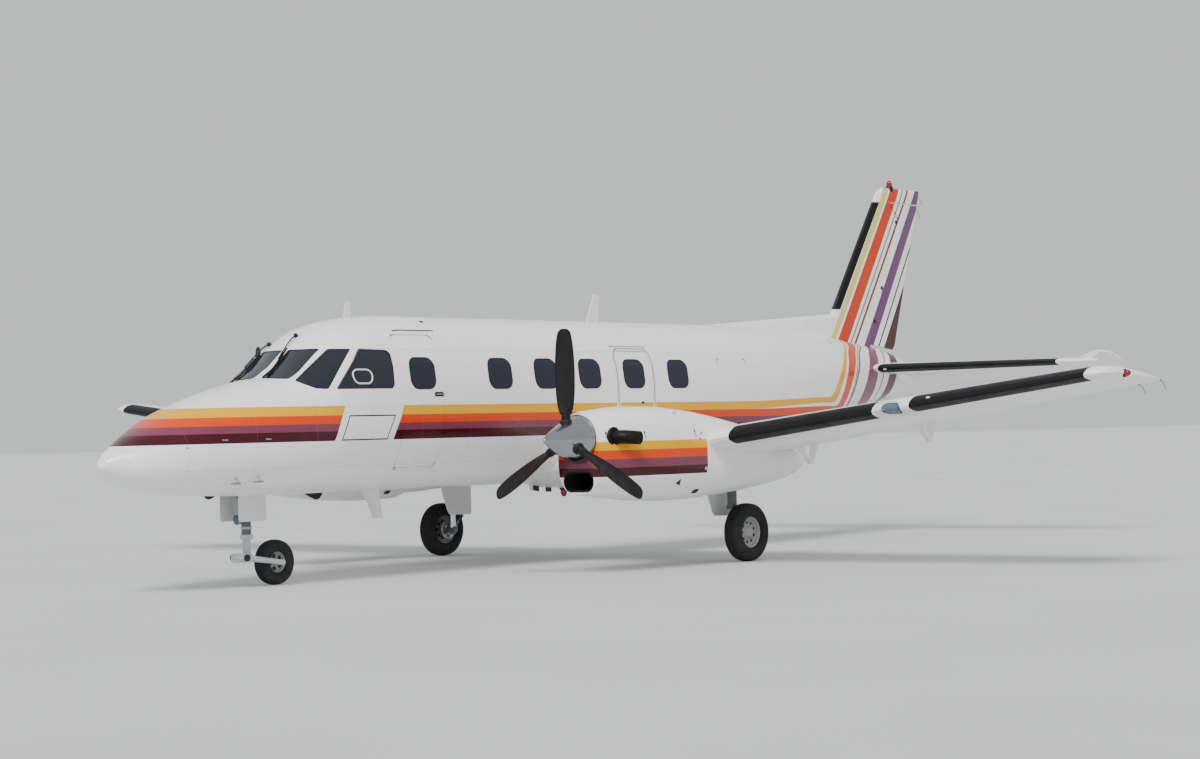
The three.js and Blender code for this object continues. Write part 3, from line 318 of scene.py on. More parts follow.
# Cabin panes are double; the dim cabin behind them is painted into the panes as dark slate (painted shade),
# under a clear reflection
cabinGlassPaintedShade = finishMaterial("cabinAcrylicPaintedShade", "161A2E", 0.08, spread=0.03, patch=0.25,
                            settings={"Coat Weight": 0.25, "Coat Roughness": 0.03, "IOR": 1.49,
                                      "Specular IOR Level": 0.3})
# Neoprene extrusion, dull black, greyed where it has weathered
sealRubber = finishMaterial("neopreneSeal", "111113", 0.62, spread=0.1, patch=0.05)
# De-icing boot: vulcanised black sheet rubber, satin from dressing. The cloth under it marks the face
# with threads of 1 mm and 0.1 mm high, drawn coarser as a 4 mm grain of 0.3 mm
bootRubber = finishMaterial("bootRubber", "07070A", 0.5, spread=0.08, patch=0.2, grain=(0.004, 0.0003),
                            settings={"Specular IOR Level": 0.28})
# Tyre: moulded carbon-black rubber, dull with pale scuffing; the mould's 1 mm grain is drawn as 3 mm
tyreRubber = finishMaterial("tyreRubber", "1D1D1E", 0.82, spread=0.08, patch=0.08, grain=(0.003, 0.0004))
# Cast and machined magnesium wheel, painted pale grey, chalky with brake dust
wheelCasting = finishMaterial("wheelCasting", "A9ABA8", 0.48, metallic=0.35, spread=0.12, patch=0.05)
# Forged leg: grey enamel over steel, oily near the seals; its grey is drawn darker as painted shade
legEnamelShaded = finishMaterial("legEnamelShaded", "696C6F", 0.4, metallic=0.25, spread=0.14, patch=0.07)
# Trailing arm and steered leg: gloss pale grey enamel, chipped by stones
armEnamel = finishMaterial("armEnamel", "C6CBCE", 0.35, spread=0.12, patch=0.05)
# Hard chrome on the sliding part of an oleo, ground and polished, with a mirror's highlight
oleoChrome = finishMaterial("oleoChrome", "D5D7D9", 0.12, metallic=1.0, spread=0.04, patch=0.05)
# Spinner: spun aluminium, polished by hand, so it mirrors the field with cloudy patches
spinnerMetal = finishMaterial("polishedAluminium", "A6A9AE", 0.16, metallic=1.0, spread=0.04, patch=0.12)
# Plain machined or drawn metal for latches, pins, probes and hinges
bareMetal = finishMaterial("machinedSteel", "AEB0B3", 0.32, metallic=0.9, spread=0.08, patch=0.03)
# Forged blades: matt black polyurethane, worn slightly grey on the faces
bladePaint = finishMaterial("bladePaint", "0F0F11", 0.48, spread=0.12, patch=0.12,
                            settings={"Specular IOR Level": 0.3})
# Exhaust: nickel alloy sheet, oxidised to a dull brown black by heat
exhaustAlloy = finishMaterial("exhaustAlloy", "1C1614", 0.6, metallic=0.6, spread=0.15, patch=0.05)
# Flight deck trim: textured grey enamel on sheet, flat so that it does not glare; 2 mm grain as sprayed
deckTrim = finishMaterial("deckEnamel", "3B3E43", 0.8, spread=0.06, patch=0.1, grain=(0.002, 0.0002))
# Seats: dark upholstery leather, embossed with a grain of about 2 mm, with a soft sheen
seatLeather = finishMaterial("seatLeather", "2A2C31", 0.55, spread=0.1, patch=0.06, grain=(0.0022, 0.0004))
# Lamp and beacon covers: moulded polycarbonate, clear or dyed, with a sharp highlight
lampGlass = finishMaterial("lampCover", "6F86A6", 0.06, spread=0.02, patch=0.05,
                           settings={"Transmission Weight": 0.5, "IOR": 1.585})
redLens, greenLens = (
    finishMaterial(name, colour, 0.1, spread=0.03, patch=0.03,
                   settings={"Transmission Weight": 0.35, "IOR": 1.585})
    for name, colour in (("redLens", "B3180F"), ("greenLens", "0F7A45"))
)
# Inside of the intake: glass cloth duct, drawn near-black, dull and dusty, and closed at its far end; the
# near-black is painted shade of the deep duct
ductShadeBlack = finishMaterial("ductShadePaint", "08080A", 0.85, spread=0.06, patch=0.08)
# Fittings: cellulose paint, matt black or gloss white, rubbed at the high spots
blackPaint = finishMaterial("mattBlackPaint", "121316", 0.5, spread=0.08, patch=0.05)
whiteEnamel = finishMaterial("whiteEnamel", "EDEFEC", 0.3, spread=0.05, patch=0.2)

# Dress the CAD nodes; a name without its side stands for both
dressedIn = (
    (fuselagePaint, ("nose_cone", "flight_deck_shell", "forward_door", "cabin_shell", "overwing_exit",
                     "rear_fuselage", "tail_cone", "fin", "rudder")),
    (cowlPaint, ("nacelle",)),
    (wingPaint, ("wing", "aileron", "inner_flap", "outer_flap", "tailplane", "elevator")),
    (whiteEnamel, ("ventral_fin", "aerial_forward", "aerial_aft", "aerial_belly", "main_gear_door",
                   "nose_gear_door")),
    (windowGlass, ("windscreen", "quarter_window", "side_window")),
    (exhaustAlloy, ("engine",)), (bladePaint, ("propeller",)), (spinnerMetal, ("spinner",)),
    (tyreRubber, ("main_tyre", "nose_tyre")), (wheelCasting, ("main_rim", "nose_rim")),
    (legEnamelShaded, ("main_leg", "nose_strut")), (armEnamel, ("nose_fork",)),
    (deckTrim, ("instrument_panel",)), (seatLeather, ("seat",)),
)
skinOf = {kind: material for material, kinds in dressedIn for kind in kinds}
# how near points lie that are one corner, in the frame and in the pieces made here, and the sharp angle
frameWeld, pieceWeld, sharpDegrees = 0.0001, 0.00005, 32


def smoothGroup():
    # welds the faceted solid's corners and shades it smooth, with sharp edges kept
    group = bpy.data.node_groups.new("smoothSkin", "GeometryNodeTree")
    for way in ("INPUT", "OUTPUT"):
        group.interface.new_socket("Geometry", in_out=way, socket_type="NodeSocketGeometry")
    welded = add(group, "GeometryNodeMergeByDistance",
                 links={"Geometry": add(group, "NodeGroupInput"), "Distance": frameWeld})
    angle = add(group, "GeometryNodeInputMeshEdgeAngle")
    sharp = add(group, "FunctionNodeCompare", {"data_type": "FLOAT", "operation": "GREATER_THAN"},
                {0: angle, 1: math.radians(sharpDegrees)})
    faces = add(group, "GeometryNodeSetShadeSmooth", {"domain": "FACE"}, {0: welded, "Shade Smooth": True})
    edges = add(group, "GeometryNodeSetShadeSmooth", {"domain": "EDGE"},
                {0: faces, 1: sharp, "Shade Smooth": False})
    add(group, "NodeGroupOutput", links={0: edges})
    return group


smoothSkin = smoothGroup()
for name, node in nodes.items():
    kind = name.removesuffix("_port").removesuffix("_starboard")
    node.data.materials.clear()
    node.data.materials.append(skinOf[kind])
    node.modifiers.new("smoothSkin", "NODES").node_group = smoothSkin
print("materials on the frame")

# Shapes for the pieces. A shape is (points, faces), and a piece joins several.

def join(shapes):
    points, faces = [], []
    for shapePoints, shapeFaces in shapes:
        faces += [tuple(index + len(points) for index in face) for face in shapeFaces]
        points += [Vector(point) for point in shapePoints]
    return points, faces


def moved(shape, matrix):
    return [matrix @ Vector(point) for point in shape[0]], shape[1]


def mirrored(shape):
    points, faces = shape
    return [Vector((-x, y, z)) for x, y, z in points], [face[::-1] for face in faces]


def piece(name, shapes, material, slotName, body="airframe", replaced=()):
    points, faces = join(shapes)
    mesh = bpy.data.meshes.new(name)
    mesh.from_pydata([tuple(point) for point in points], [], faces)
    builder = bmesh.new()
    builder.from_mesh(mesh)
    bmesh.ops.remove_doubles(builder, verts=builder.verts, dist=pieceWeld)
    bmesh.ops.recalc_face_normals(builder, faces=builder.faces)
    builder.to_mesh(mesh)
    builder.free()
    mesh.materials.append(material)
    made = bpy.data.objects.new(name, mesh)
    bpy.context.scene.collection.objects.link(made)
    made.modifiers.new("smoothSkin", "NODES").node_group = smoothSkin
    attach(made, body)
    if replaced:
        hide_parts(*replaced)
    return made


def loft(rings, firstCap=False, lastCap=False, closed=False):
    # joins each ring of points to the next one; closed joins the last ring to the first
    size = len(rings[0])
    starts = [size * i for i in range(len(rings))]
    faces = [(low + k, low + (k + 1) % size, high + (k + 1) % size, high + k)
             for low, high in zip(starts, starts[1:] + (starts[:1] if closed else [])) for k in range(size)]
    if firstCap:
        faces.append(tuple(range(size))[::-1])
    if lastCap:
        faces.append(tuple(range(starts[-1], starts[-1] + size)))
    return [point for ring in rings for point in ring], faces


def sweep(section, path, ups, closed=False):
    # section is a loop of (across, up), or one loop for each point of the path; ups are directions
    rings, count = [], len(path)
    for i, spot in enumerate(path):
        before = path[i - 1] if i or closed else path[0]
        after = path[(i + 1) % count] if i + 1 < count or closed else path[-1]
        along = (Vector(after) - Vector(before)).normalized()
        across = along.cross(Vector(ups[i])).normalized()
        up = across.cross(along)
        here = section[i] if isinstance(section[0], list) else section
        rings.append([Vector(spot) + across * a + up * b for a, b in here])
    return loft(rings, not closed, not closed, closed)


def turnsOf(facets):
    return [2 * math.pi * k / facets for k in range(facets)]


def tube(path, radius, facets=12):
    radii = radius if isinstance(radius, list) else [radius] * len(path)
    path = [Vector(spot) for spot in path]
    # ups start square to the path, on z where the path is not steep, and turn as little as they can
    steep, ups, last = 0.9, [], None
    for i in range(len(path)):
        along = (path[min(i + 1, len(path) - 1)] - path[max(i - 1, 0)]).normalized()
        base = last or Vector((0, 0, 1) if abs(along.z) < steep else (1, 0, 0))
        last = (base - along * base.dot(along)).normalized()
        ups.append(last)
    sections = [[(r * math.cos(turn), r * math.sin(turn)) for turn in turnsOf(facets)] for r in radii]
    return sweep(sections, path, ups)


def pipe(path, outer, inner, facets=24):
    # an open tube with a wall
    outside, hollow = tube(path, outer, facets), tube(path, inner, facets)
    count = len(path) * facets
    faces = outside[1][:-2] + [tuple(index + count for index in face)[::-1] for face in hollow[1][:-2]]
    for start in (0, count - facets):
        faces += [(start + k, start + (k + 1) % facets, start + (k + 1) % facets + count, start + k + count)
                  for k in range(facets)]
    return outside[0] + hollow[0], faces


def curved(points, steps=6):
    # Catmull-Rom points through the given ones, which may have two, three or four numbers
    points = [Vector(point) for point in points]
    padded = [2 * points[0] - points[1]] + points + [2 * points[-1] - points[-2]]
    route = []
    for i in range(1, len(padded) - 2):
        a, b, c, d = padded[i - 1:i + 3]
        for k in range(steps):
            t = k / steps
            route.append(0.5 * (2 * b + (c - a) * t + (2 * a - 5 * b + 4 * c - d) * t * t
                                + (3 * b - a - 3 * c + d) * t ** 3))
    return route + [points[-1]]


# a radius of 0 is drawn this small, and its points are welded into one
leastRadius = 0.000001


def spun(profile, origin, axis, facets=32):
    # profile is (radius, distance along the axis), from end to end
    origin, axis = Vector(origin), Vector(axis).normalized()
    side = axis.orthogonal().normalized()
    other = axis.cross(side)
    ways = [side * math.cos(turn) + other * math.sin(turn) for turn in turnsOf(facets)]
    return loft([[origin + axis * along + way * max(radius, leastRadius) for way in ways]
                 for radius, along in profile])


def pin(radius, start, end):
    # the profile of a plain round pin
    return (0, start), (radius, start), (radius, end), (0, end)


def roundedBox(middle, size, corner, steps=5):
    outline = []
    for quarter, (sa, sb) in enumerate([(1, 1), (-1, 1), (-1, -1), (1, -1)]):
        for k in range(steps + 1):
            turn = math.pi / 2 * (quarter + k / steps)
            a = sa * (size[0] / 2 - corner) + corner * math.cos(turn)
            b = sb * (size[1] / 2 - corner) + corner * math.sin(turn)
            outline.append((middle[0] + a, middle[1] + b))
    return outline


# Casting onto the frame's skins, so that what is fitted sits on the real surface

def skinOfNodes(*names):
    points, faces = join(([vertex.co for vertex in nodes[name].data.vertices],
                          [polygon.vertices for polygon in nodes[name].data.polygons]) for name in names)
    return BVHTree.FromPolygons(points, faces)


fuselageSkin = skinOfNodes("nose_cone", "flight_deck_shell", "forward_door", "cabin_shell",
                           "overwing_exit_port", "overwing_exit_starboard", "rear_fuselage", "tail_cone")
finSkin = skinOfNodes("fin", "rudder")
bellySkin = skinOfNodes("wing_port", "wing_starboard", "cabin_shell", "rear_fuselage", "flight_deck_shell")
glazedSkin = skinOfNodes(*[name for name in nodes if "window" in name or "windscreen" in name],
                         "flight_deck_shell")
farOut = 20


def caster(skin, start, way):
    # gives a function from (a, b) to the (point, outward normal) where the skin is met
    def cast(a, b):
        spot, normal, _, _ = skin.ray_cast(Vector(start(a, b)), Vector(way))
        if spot is None:
            raise ValueError(f"nothing to sit on at {a:.3f}, {b:.3f}")
        return spot, (normal if normal.dot(Vector(way)) < 0 else -normal)
    return cast


def sideCast(side, skin=fuselageSkin):
    return caster(skin, lambda station, z: (side * farOut, aft(station), z), (-side, 0, 0))


def topCast(skin=fuselageSkin):
    return caster(skin, lambda x, station: (x, aft(station), farOut), (0, 0, -1))


def bellyCast(skin=fuselageSkin):
    return caster(skin, lambda x, station: (x, aft(station), -farOut), (0, 0, 1))


def frontCast(skin):
    return caster(skin, lambda x, z: (x, -farOut, z), (0, 1, 0))


def overGaps(cast, reach=0.016):
    # the same cast from the side, but level with the proudest skin within reach, so that it spans a joint
    around = ((0, 0), (reach, 0), (-reach, 0), (0, reach), (0, -reach))

    def spanned(a, b):
        tries = [cast(a + da, b + db) for da, db in around]
        proudest, normal = max(tries, key=lambda hit: abs(hit[0].x))
        return Vector((proudest.x, aft(a), b)), normal
    return spanned


def stretch(start, end, steps):
    return [tuple(start[i] + (end[i] - start[i]) * k / steps for i in range(len(start)))
            for k in range(steps + 1)]


# the longest step between two points that follow a skin
spotStep = 0.022


def closely(route, closed=True):
    # the same route with a spot at least every spotStep
    spots = []
    for start, end in zip(route, route[1:] + (route[:1] if closed else [])):
        spots += stretch(start, end, max(1, math.ceil(math.dist(start, end) / spotStep)))[:-1]
    return spots if closed else spots + [tuple(route[-1])]


def patch(outline, cast, proud, depth=0.004, crown=(0, 0, 0)):
    # a thin closed sheet that follows the skin inside an outline of (a, b), domed by crown at its middle
    outline = closely(outline)
    middle = [sum(spot[i] for spot in outline) / len(outline) for i in (0, 1)]
    rings = max(2, math.ceil(max(math.dist(spot, middle) for spot in outline) / spotStep))
    shares = [1 - k / rings for k in range(rings)]
    spots = [(middle[0] + (a - middle[0]) * share, middle[1] + (b - middle[1]) * share)
             for share in shares for a, b in outline] + [tuple(middle)]
    domes = [math.sqrt(1 - share * share) for share in shares for _ in outline] + [1.0]
    met = [cast(a, b) for a, b in spots]
    front = [spot + normal * proud + Vector(crown) * dome for (spot, normal), dome in zip(met, domes)]
    back = [spot - normal * depth for spot, normal in met]
    count, total, last = len(outline), len(spots), (rings - 1) * len(outline)
    faces = loft([outline] * rings)[1]
    faces += [(last + k, last + (k + 1) % count, total - 1) for k in range(count)]
    faces += [tuple(index + total for index in face)[::-1] for face in faces]
    faces += [(k, k + total, (k + 1) % count + total, (k + 1) % count) for k in range(count)]
    return front + back, faces


def tile(cast, spot, size, corner, proud, crown=(0, 0, 0), steps=5):
    # a patch with the outline of a rounded box; the tiles in the dictionaries are (spot, size, corner,
    # proud), and where spots are listed apart, their form is (size, corner, proud)
    return patch(roundedBox(spot, size, corner, steps), cast, proud, crown=crown)


# half of a moulding's section, as shares of its half width and of its height
beadHalf = ((1, -1), (1, 0.35), (0.55, 0.9))


def bead(route, cast, width, height, closed=True):
    # a low moulding laid on the skin along a route of (a, b)
    met = [cast(a, b) for a, b in closely(route, closed)]
    shares = [(-a, b) for a, b in beadHalf] + [(0, 1)] + list(beadHalf[::-1])
    section = [(a * width / 2, b * height) for a, b in shares]
    return sweep(section, [spot for spot, _ in met], [normal for _, normal in met], closed)


# Cabin windows: double acrylic panes in a black seal, the forward one on each side in line with the door.
# Pairs named as a seal, rail, edging, joint, rim or section are (width, height) of a bead.
cabinWindow = {"stations": (5.07, 5.85, 6.63, 7.45, 8.30), "door": 3.82, "z": 2.22, "size": (0.375, 0.33),
               "corner": 0.10, "seal": (0.022, 0.007), "glassProud": 0.0035}
for side, sideName in sides:
    cast = sideCast(side)
    doorBody = "forward_door" if side == 1 else "airframe"
    for label, stations, body in (("cabin", cabinWindow["stations"], "airframe"),
                                  ("forward", (cabinWindow["door"],), doorBody)):
        outlines = [roundedBox((station, cabinWindow["z"]), cabinWindow["size"], cabinWindow["corner"])
                    for station in stations]
        panes = [patch(outline, cast, cabinWindow["glassProud"]) for outline in outlines]
        seals = [bead(outline, cast, *cabinWindow["seal"]) for outline in outlines]
        piece(f"{label}_panes_{sideName}", panes, cabinGlassPaintedShade, "glass", body)
        piece(f"{label}_seals_{sideName}", seals, sealRubber, "black_rubber", body)
print("cabin windows")

# Overwing exits: white edging across the stripes, grey joint, sunk handle drawn as a black patch (painted
# shade of its recess), drip rail above
exitTrim = {"outline": ((7.47, 2.06), (0.68, 0.92), 0.11, 8), "edging": (0.055, 0.003),
            "joint": (0.012, 0.0045), "handle": ((7.586, 1.875), (0.055, 0.022), 0.01, 0.003),
            "rail": ((7.11, 2.556), (7.80, 2.556), 24), "railSection": (0.014, 0.008)}
for side, sideName in sides:
    cast = overGaps(sideCast(side))
    outline = roundedBox(*exitTrim["outline"])
    edging, joint = (bead(outline, cast, *exitTrim[key]) for key in ("edging", "joint"))
    rail = bead(stretch(*exitTrim["rail"]), cast, *exitTrim["railSection"], closed=False)
    piece(f"exit_edging_{sideName}", [edging], whiteEnamel, "white_skin")
    piece(f"exit_joint_{sideName}", [joint], sealRubber, "black_rubber")
    piece(f"exit_handle_shade_{sideName}", [tile(cast, *exitTrim["handle"])], blackPaint, "black_rubber")
    piece(f"exit_drip_rail_{sideName}", [rail], whiteEnamel, "white_skin")

# Drip rail over the forward door, and on both sides the small dark cap at its after end
doorRail = {"line": ((0.595, 3.60), (0.595, 4.24), 12), "section": (0.012, 0.009),
            "cap": ((0.43, 4.233), (0.035, 0.05), 0.015, 0.008)}
rail = bead(stretch(*doorRail["line"]), topCast(), *doorRail["section"], closed=False)
piece("door_drip_rail", [rail], sealRubber, "black_rubber")
cap = tile(topCast(), *doorRail["cap"])
piece("roof_caps", [cap, mirrored(cap)], blackPaint, "black_rubber")

# Break-in corner marks on the cabin top: station, level and the way the long arm points
marks = {"corners": ((9.14, 2.41, 1), (9.745, 2.41, -1), (12.29, 2.705, -1)), "arm": 0.06, "bend": 0.012,
         "section": (0.009, 0.003)}
for side, sideName in sides:
    cast, arms = sideCast(side), []
    for station, z, way in marks["corners"]:
        route = [(station, z - marks["arm"]), (station, z), (station + way * marks["bend"], z),
                 (station + way * marks["arm"], z)]
        arms.append(bead(route, cast, *marks["section"], closed=False))
    piece(f"break_in_marks_{sideName}", arms, blackPaint, "black_rubber")
print("doors, rails and marks")


# Flight deck glazing: neoprene beads round the panes and the white ring of the direct-vision panel
def paneRim(node, facing, least=0.45):
    # the outer edge loop of a glass pane: the faces that look outward, and the edges round them
    builder = bmesh.new()
    builder.from_mesh(nodes[node].data)
    bmesh.ops.remove_doubles(builder, verts=builder.verts, dist=frameWeld)
    builder.normal_update()
    outer = {face for face in builder.faces if face.normal.dot(Vector(facing)) > least}
    rim = [edge for edge in builder.edges if sum(face in outer for face in edge.link_faces) == 1]
    links = {}
    for edge in rim:
        one, other = edge.verts
        links.setdefault(one, []).append(other)
        links.setdefault(other, []).append(one)
    start = rim[0].verts[0]
    loop, last = [start], None
    while True:
        onward = [vertex for vertex in links[loop[-1]] if vertex is not last]
        last = loop[-1]
        if onward[0] is start:
            break
        loop.append(onward[0])
    normals = [sum((face.normal for face in vertex.link_faces if face in outer), Vector()).normalized()
               for vertex in loop]
    result = [vertex.co.copy() for vertex in loop], normals
    builder.free()
    return result


glazing = {"facing": {"windscreen": (0, -0.65, 0.76), "quarter_window": (0.62, -0.55, 0.56),
                      "side_window": (0.97, -0.1, 0.2)},
           "section": [(-0.008, -0.004), (-0.008, 0.004), (0, 0.010), (0.008, 0.004), (0.008, -0.004)],
           "ring": ((2.945, 2.183), (0.255, 0.148), 0.072, 8), "ringSection": (0.018, 0.008)}
for side, sideName in sides:
    beads = []
    for kind, (x, y, z) in glazing["facing"].items():
        rim, normals = paneRim(f"{kind}_{sideName}", (side * x, y, z))
        beads.append(sweep(glazing["section"], rim, normals, closed=True))
    piece(f"pane_beads_{sideName}", beads, sealRubber, "black_rubber")
    ring = bead(roundedBox(*glazing["ring"]), sideCast(side, glazedSkin), *glazing["ringSection"])
    piece(f"vent_panel_ring_{sideName}", [ring], whiteEnamel, "white_skin")

# Wipers, hung from above the windscreens: pivot, arm end and the two ends of the blade as (x, station).
# Lifts are heights above the glass.
wiper = {"port": {"pivot": (-0.04, 2.79), "arm": (0.06, 2.45), "blade": ((0.015, 2.60), (0.135, 2.20))},
         "starboard": {"pivot": (-0.47, 2.80), "arm": (-0.455, 2.44),
                       "blade": ((-0.43, 2.62), (-0.455, 2.20))},
         "boss": ((0, 0), (0.024, 0), (0.024, 0.02), (0.014, 0.045), (0, 0.048)), "sunk": 0.004,
         "pivotLift": 0.024, "armLift": 0.036, "armRadii": [0.010, 0.008, 0.007, 0.006, 0.006],
         "clipLift": 0.018, "clipRadius": 0.007, "bladeLift": 0.016, "bowLift": 0.030, "bowRadius": 0.004,
         "rubber": [(-0.003, -0.014), (-0.006, 0), (-0.003, 0.008), (0.003, 0.008), (0.006, 0),
                    (0.003, -0.014)]}
onGlass = topCast(glazedSkin)


def overGlass(route, lift):
    return [spot + normal * lift for spot, normal in (onGlass(x, station) for x, station in route)]


for _, sideName in sides:
    layout = wiper[sideName]
    pivot, normal = onGlass(*layout["pivot"])
    arm = stretch(layout["pivot"], layout["arm"], steps=4)[1:]
    arm = [pivot + normal * wiper["pivotLift"]] + overGlass(arm, wiper["armLift"])
    blade = overGlass(stretch(*layout["blade"], steps=6), wiper["bladeLift"])
    bow = overGlass(stretch(*layout["blade"], steps=6), wiper["bowLift"])
    clip = [arm[-1]] + overGlass([layout["arm"]], wiper["clipLift"])
    shapes = [spun(wiper["boss"], pivot - normal * wiper["sunk"], normal, facets=16),
              tube(arm, wiper["armRadii"], facets=10),
              tube(clip, wiper["clipRadius"], facets=8),
              tube(bow[1:-1], wiper["bowRadius"], facets=8),
              sweep(wiper["rubber"], blade, [normal] * len(blade))]
    shapes += [tube([blade[k], bow[k]], wiper["bowRadius"], facets=6) for k in (1, 3, 5)]
    piece(f"wiper_{sideName}", shapes, blackPaint, "black_rubber")
print("glazing and wipers")

# Nose fittings: static plates in the lowest stripe, a drain dot, and pitot heads low on each side,
# whose masts are given by heights over the skin and radii
noseFit = {"tiles": (((1.147, 1.545), (0.065, 0.014), 0.006, 0.002),
                     ((1.651, 1.545), (0.065, 0.014), 0.006, 0.002),
                     ((0.75, 1.475), (0.02, 0.02), 0.009, 0.002)),
           "pitots": ((1.344, 1.155), (1.605, 1.167)), "mast": (-0.01, 0.0375, 0.075),
           "mastRadii": [0.014, 0.011, 0.010],
           "head": ((0, -0.03), (0.010, -0.022), (0.012, 0), (0.011, 0.06), (0.007, 0.11), (0, 0.11))}
for side, sideName in sides:
    cast = sideCast(side)
    shapes = [tile(cast, *layout) for layout in noseFit["tiles"]]
    for spot in noseFit["pitots"]:
        root, normal = cast(*spot)
        route = [root + normal * height for height in noseFit["mast"]]
        shapes += [tube(route, noseFit["mastRadii"]), spun(noseFit["head"], route[-1], (0, -1, 0), facets=14)]
    piece(f"nose_probes_{sideName}", shapes, bareMetal, "spinner_metal")


# De-icing boots: thin rubber sheets cut out of the leading edges they are bonded to
def sheetFrom(node, cuts, proud=0.0016, depth=0.002):
    # keeps what lies on the inner side of every cut (point, direction away), then lifts it off the skin
    builder = bmesh.new()
    builder.from_mesh(nodes[node].data)
    bmesh.ops.remove_doubles(builder, verts=builder.verts, dist=frameWeld)
    for spot, outward in cuts:
        geometry = builder.verts[:] + builder.edges[:] + builder.faces[:]
        bmesh.ops.bisect_plane(builder, geom=geometry, plane_co=spot, plane_no=outward, clear_outer=True)
    builder.normal_update()
    index = {vertex: i for i, vertex in enumerate(builder.verts)}
    outer = [vertex.co + vertex.normal * proud for vertex in builder.verts]
    inner = [vertex.co - vertex.normal * depth for vertex in builder.verts]
    faces = [tuple(index[vertex] for vertex in face.verts) for face in builder.faces]
    walls = []
    for edge in builder.edges:
        if len(edge.link_faces) == 1:
            loop = edge.link_loops[0]
            a, b = index[loop.vert], index[loop.link_loop_next.vert]
            walls.append((b, a, a + len(outer), b + len(outer)))
    builder.free()
    return outer + inner, faces + [tuple(i + len(outer) for i in face)[::-1] for face in faces] + walls


# spans along the wing or up the fin, two (span, station) points of the leading edge, and the depth aft
boots = {
    "wing": {"spans": ((3.12, 4.97), (5.42, 7.44)), "lead": ((0, 6.144), (7.5, 6.428)), "depth": 0.165},
    "tailplane": {"spans": ((0.40, 3.02),), "lead": ((0, 13.300), (3, 13.660)), "depth": 0.125},
    "fin": {"spans": ((3.15, 4.70),), "lead": ((3.08, 12.809), (4.92, 14.069)), "depth": 0.12},
}


def bootSheets(kind, node, spanWay):
    span = Vector(spanWay)
    (root, rootLead), (tip, tipLead) = boots[kind]["lead"]
    slope = (tipLead - rootLead) / (tip - root)
    edge = Vector((0, aft(rootLead + boots[kind]["depth"]), 0)) + span * root
    behind = (edge, Vector((0, 1, 0)) - span * slope)
    return [sheetFrom(node, [behind, (span * low, -span), (span * high, span)])
            for low, high in boots[kind]["spans"]]


for side, sideName in sides:
    for kind, node in (("wing", f"wing_{sideName}"), ("tailplane", "tailplane")):
        piece(f"{kind}_boots_{sideName}", bootSheets(kind, node, (side, 0, 0)), bootRubber, "black_rubber")
piece("fin_boot", bootSheets("fin", "fin", (0, 0, 1)), bootRubber, "black_rubber")

# White inspection marks on the boots, as (node, x, z) on the leading edge
bootMarks = {"spots": (("wing_{}", 5.634, 1.81), ("tailplane", 0.508, 2.306)),
             "form": ((0.05, 0.018), 0.007, 0.0032)}
for side, sideName in sides:
    shapes = [tile(frontCast(skinOfNodes(node.format(sideName))), (side * x, z), *bootMarks["form"])
              for node, x, z in bootMarks["spots"]]
    piece(f"boot_marks_{sideName}", shapes, whiteEnamel, "white_skin")
print("boots")

# Landing lamps: a white bulge on each leading edge with a curved lens let into it. The bulge is given
# by its middle, size, corner, height and how far its middle reaches ahead, the lens by the first three.
landingLamp = {"bulge": (5.185, 1.705, (0.38, 0.155), 0.074, 0.002, 0.05),
               "lens": (5.225, 1.708, (0.20, 0.105), 0.05), "lensProud": 0.003, "rim": (0.012, 0.006)}
for side, sideName in sides:
    x, z, size, corner, proud, ahead = landingLamp["bulge"]
    onWing = frontCast(skinOfNodes(f"wing_{sideName}"))
    bulge = tile(onWing, (side * x, z), size, corner, proud, crown=(0, -ahead, 0))
    piece(f"lamp_bulge_{sideName}", [bulge], whiteEnamel, "white_skin")
    onBulge = frontCast(BVHTree.FromPolygons(*bulge))
    x, z, size, corner = landingLamp["lens"]
    outline = roundedBox((side * x, z), size, corner)
    piece(f"lamp_lens_{sideName}", [patch(outline, onBulge, landingLamp["lensProud"])], lampGlass, "glass")
    piece(f"lamp_rim_{sideName}", [bead(outline, onBulge, *landingLamp["rim"])], sealRubber, "black_rubber")

# Position lights on the wing tips, red to port and green to starboard, and red beacons on fin and belly
tipLight = {"spot": (7.635, 6.88, 2.0),
            "socket": ((0, -0.02), (0.042, -0.02), (0.044, 0.024), (0.037, 0.034), (0, 0.034)),
            "dome": ((0.034, 0.03), (0.034, 0.045), (0.031, 0.062), (0.022, 0.078), (0.010, 0.086),
                     (0, 0.088))}
for side, sideName in sides:
    x, station, z = tipLight["spot"]
    spot, way = (side * x, aft(station), z), (side, 0, 0)
    socket, dome = (spun(tipLight[key], spot, way, facets=28) for key in ("socket", "dome"))
    piece(f"tip_light_socket_{sideName}", [socket], blackPaint, "black_rubber")
    piece(f"tip_light_{sideName}", [dome], redLens if side == 1 else greenLens, "glass")
beacon = {"fin": (0, 14.373, 4.90), "belly": (0, 7.08, 0.895),
          "socket": ((0, -0.02), (0.058, -0.02), (0.056, 0.03), (0.044, 0.052), (0, 0.052)),
          "dome": ((0.040, 0.05), (0.041, 0.075), (0.036, 0.10), (0.024, 0.122), (0.010, 0.130),
                   (0, 0.131))}
for label, way in (("fin", 1), ("belly", -1)):
    x, station, z = beacon[label]
    spot, up = (x, aft(station), z), (0, 0, way)
    piece(f"{label}_beacon_socket", [spun(beacon["socket"], spot, up)], blackPaint, "black_rubber")
    piece(f"{label}_beacon", [spun(beacon["dome"], spot, up)], redLens, "glass")

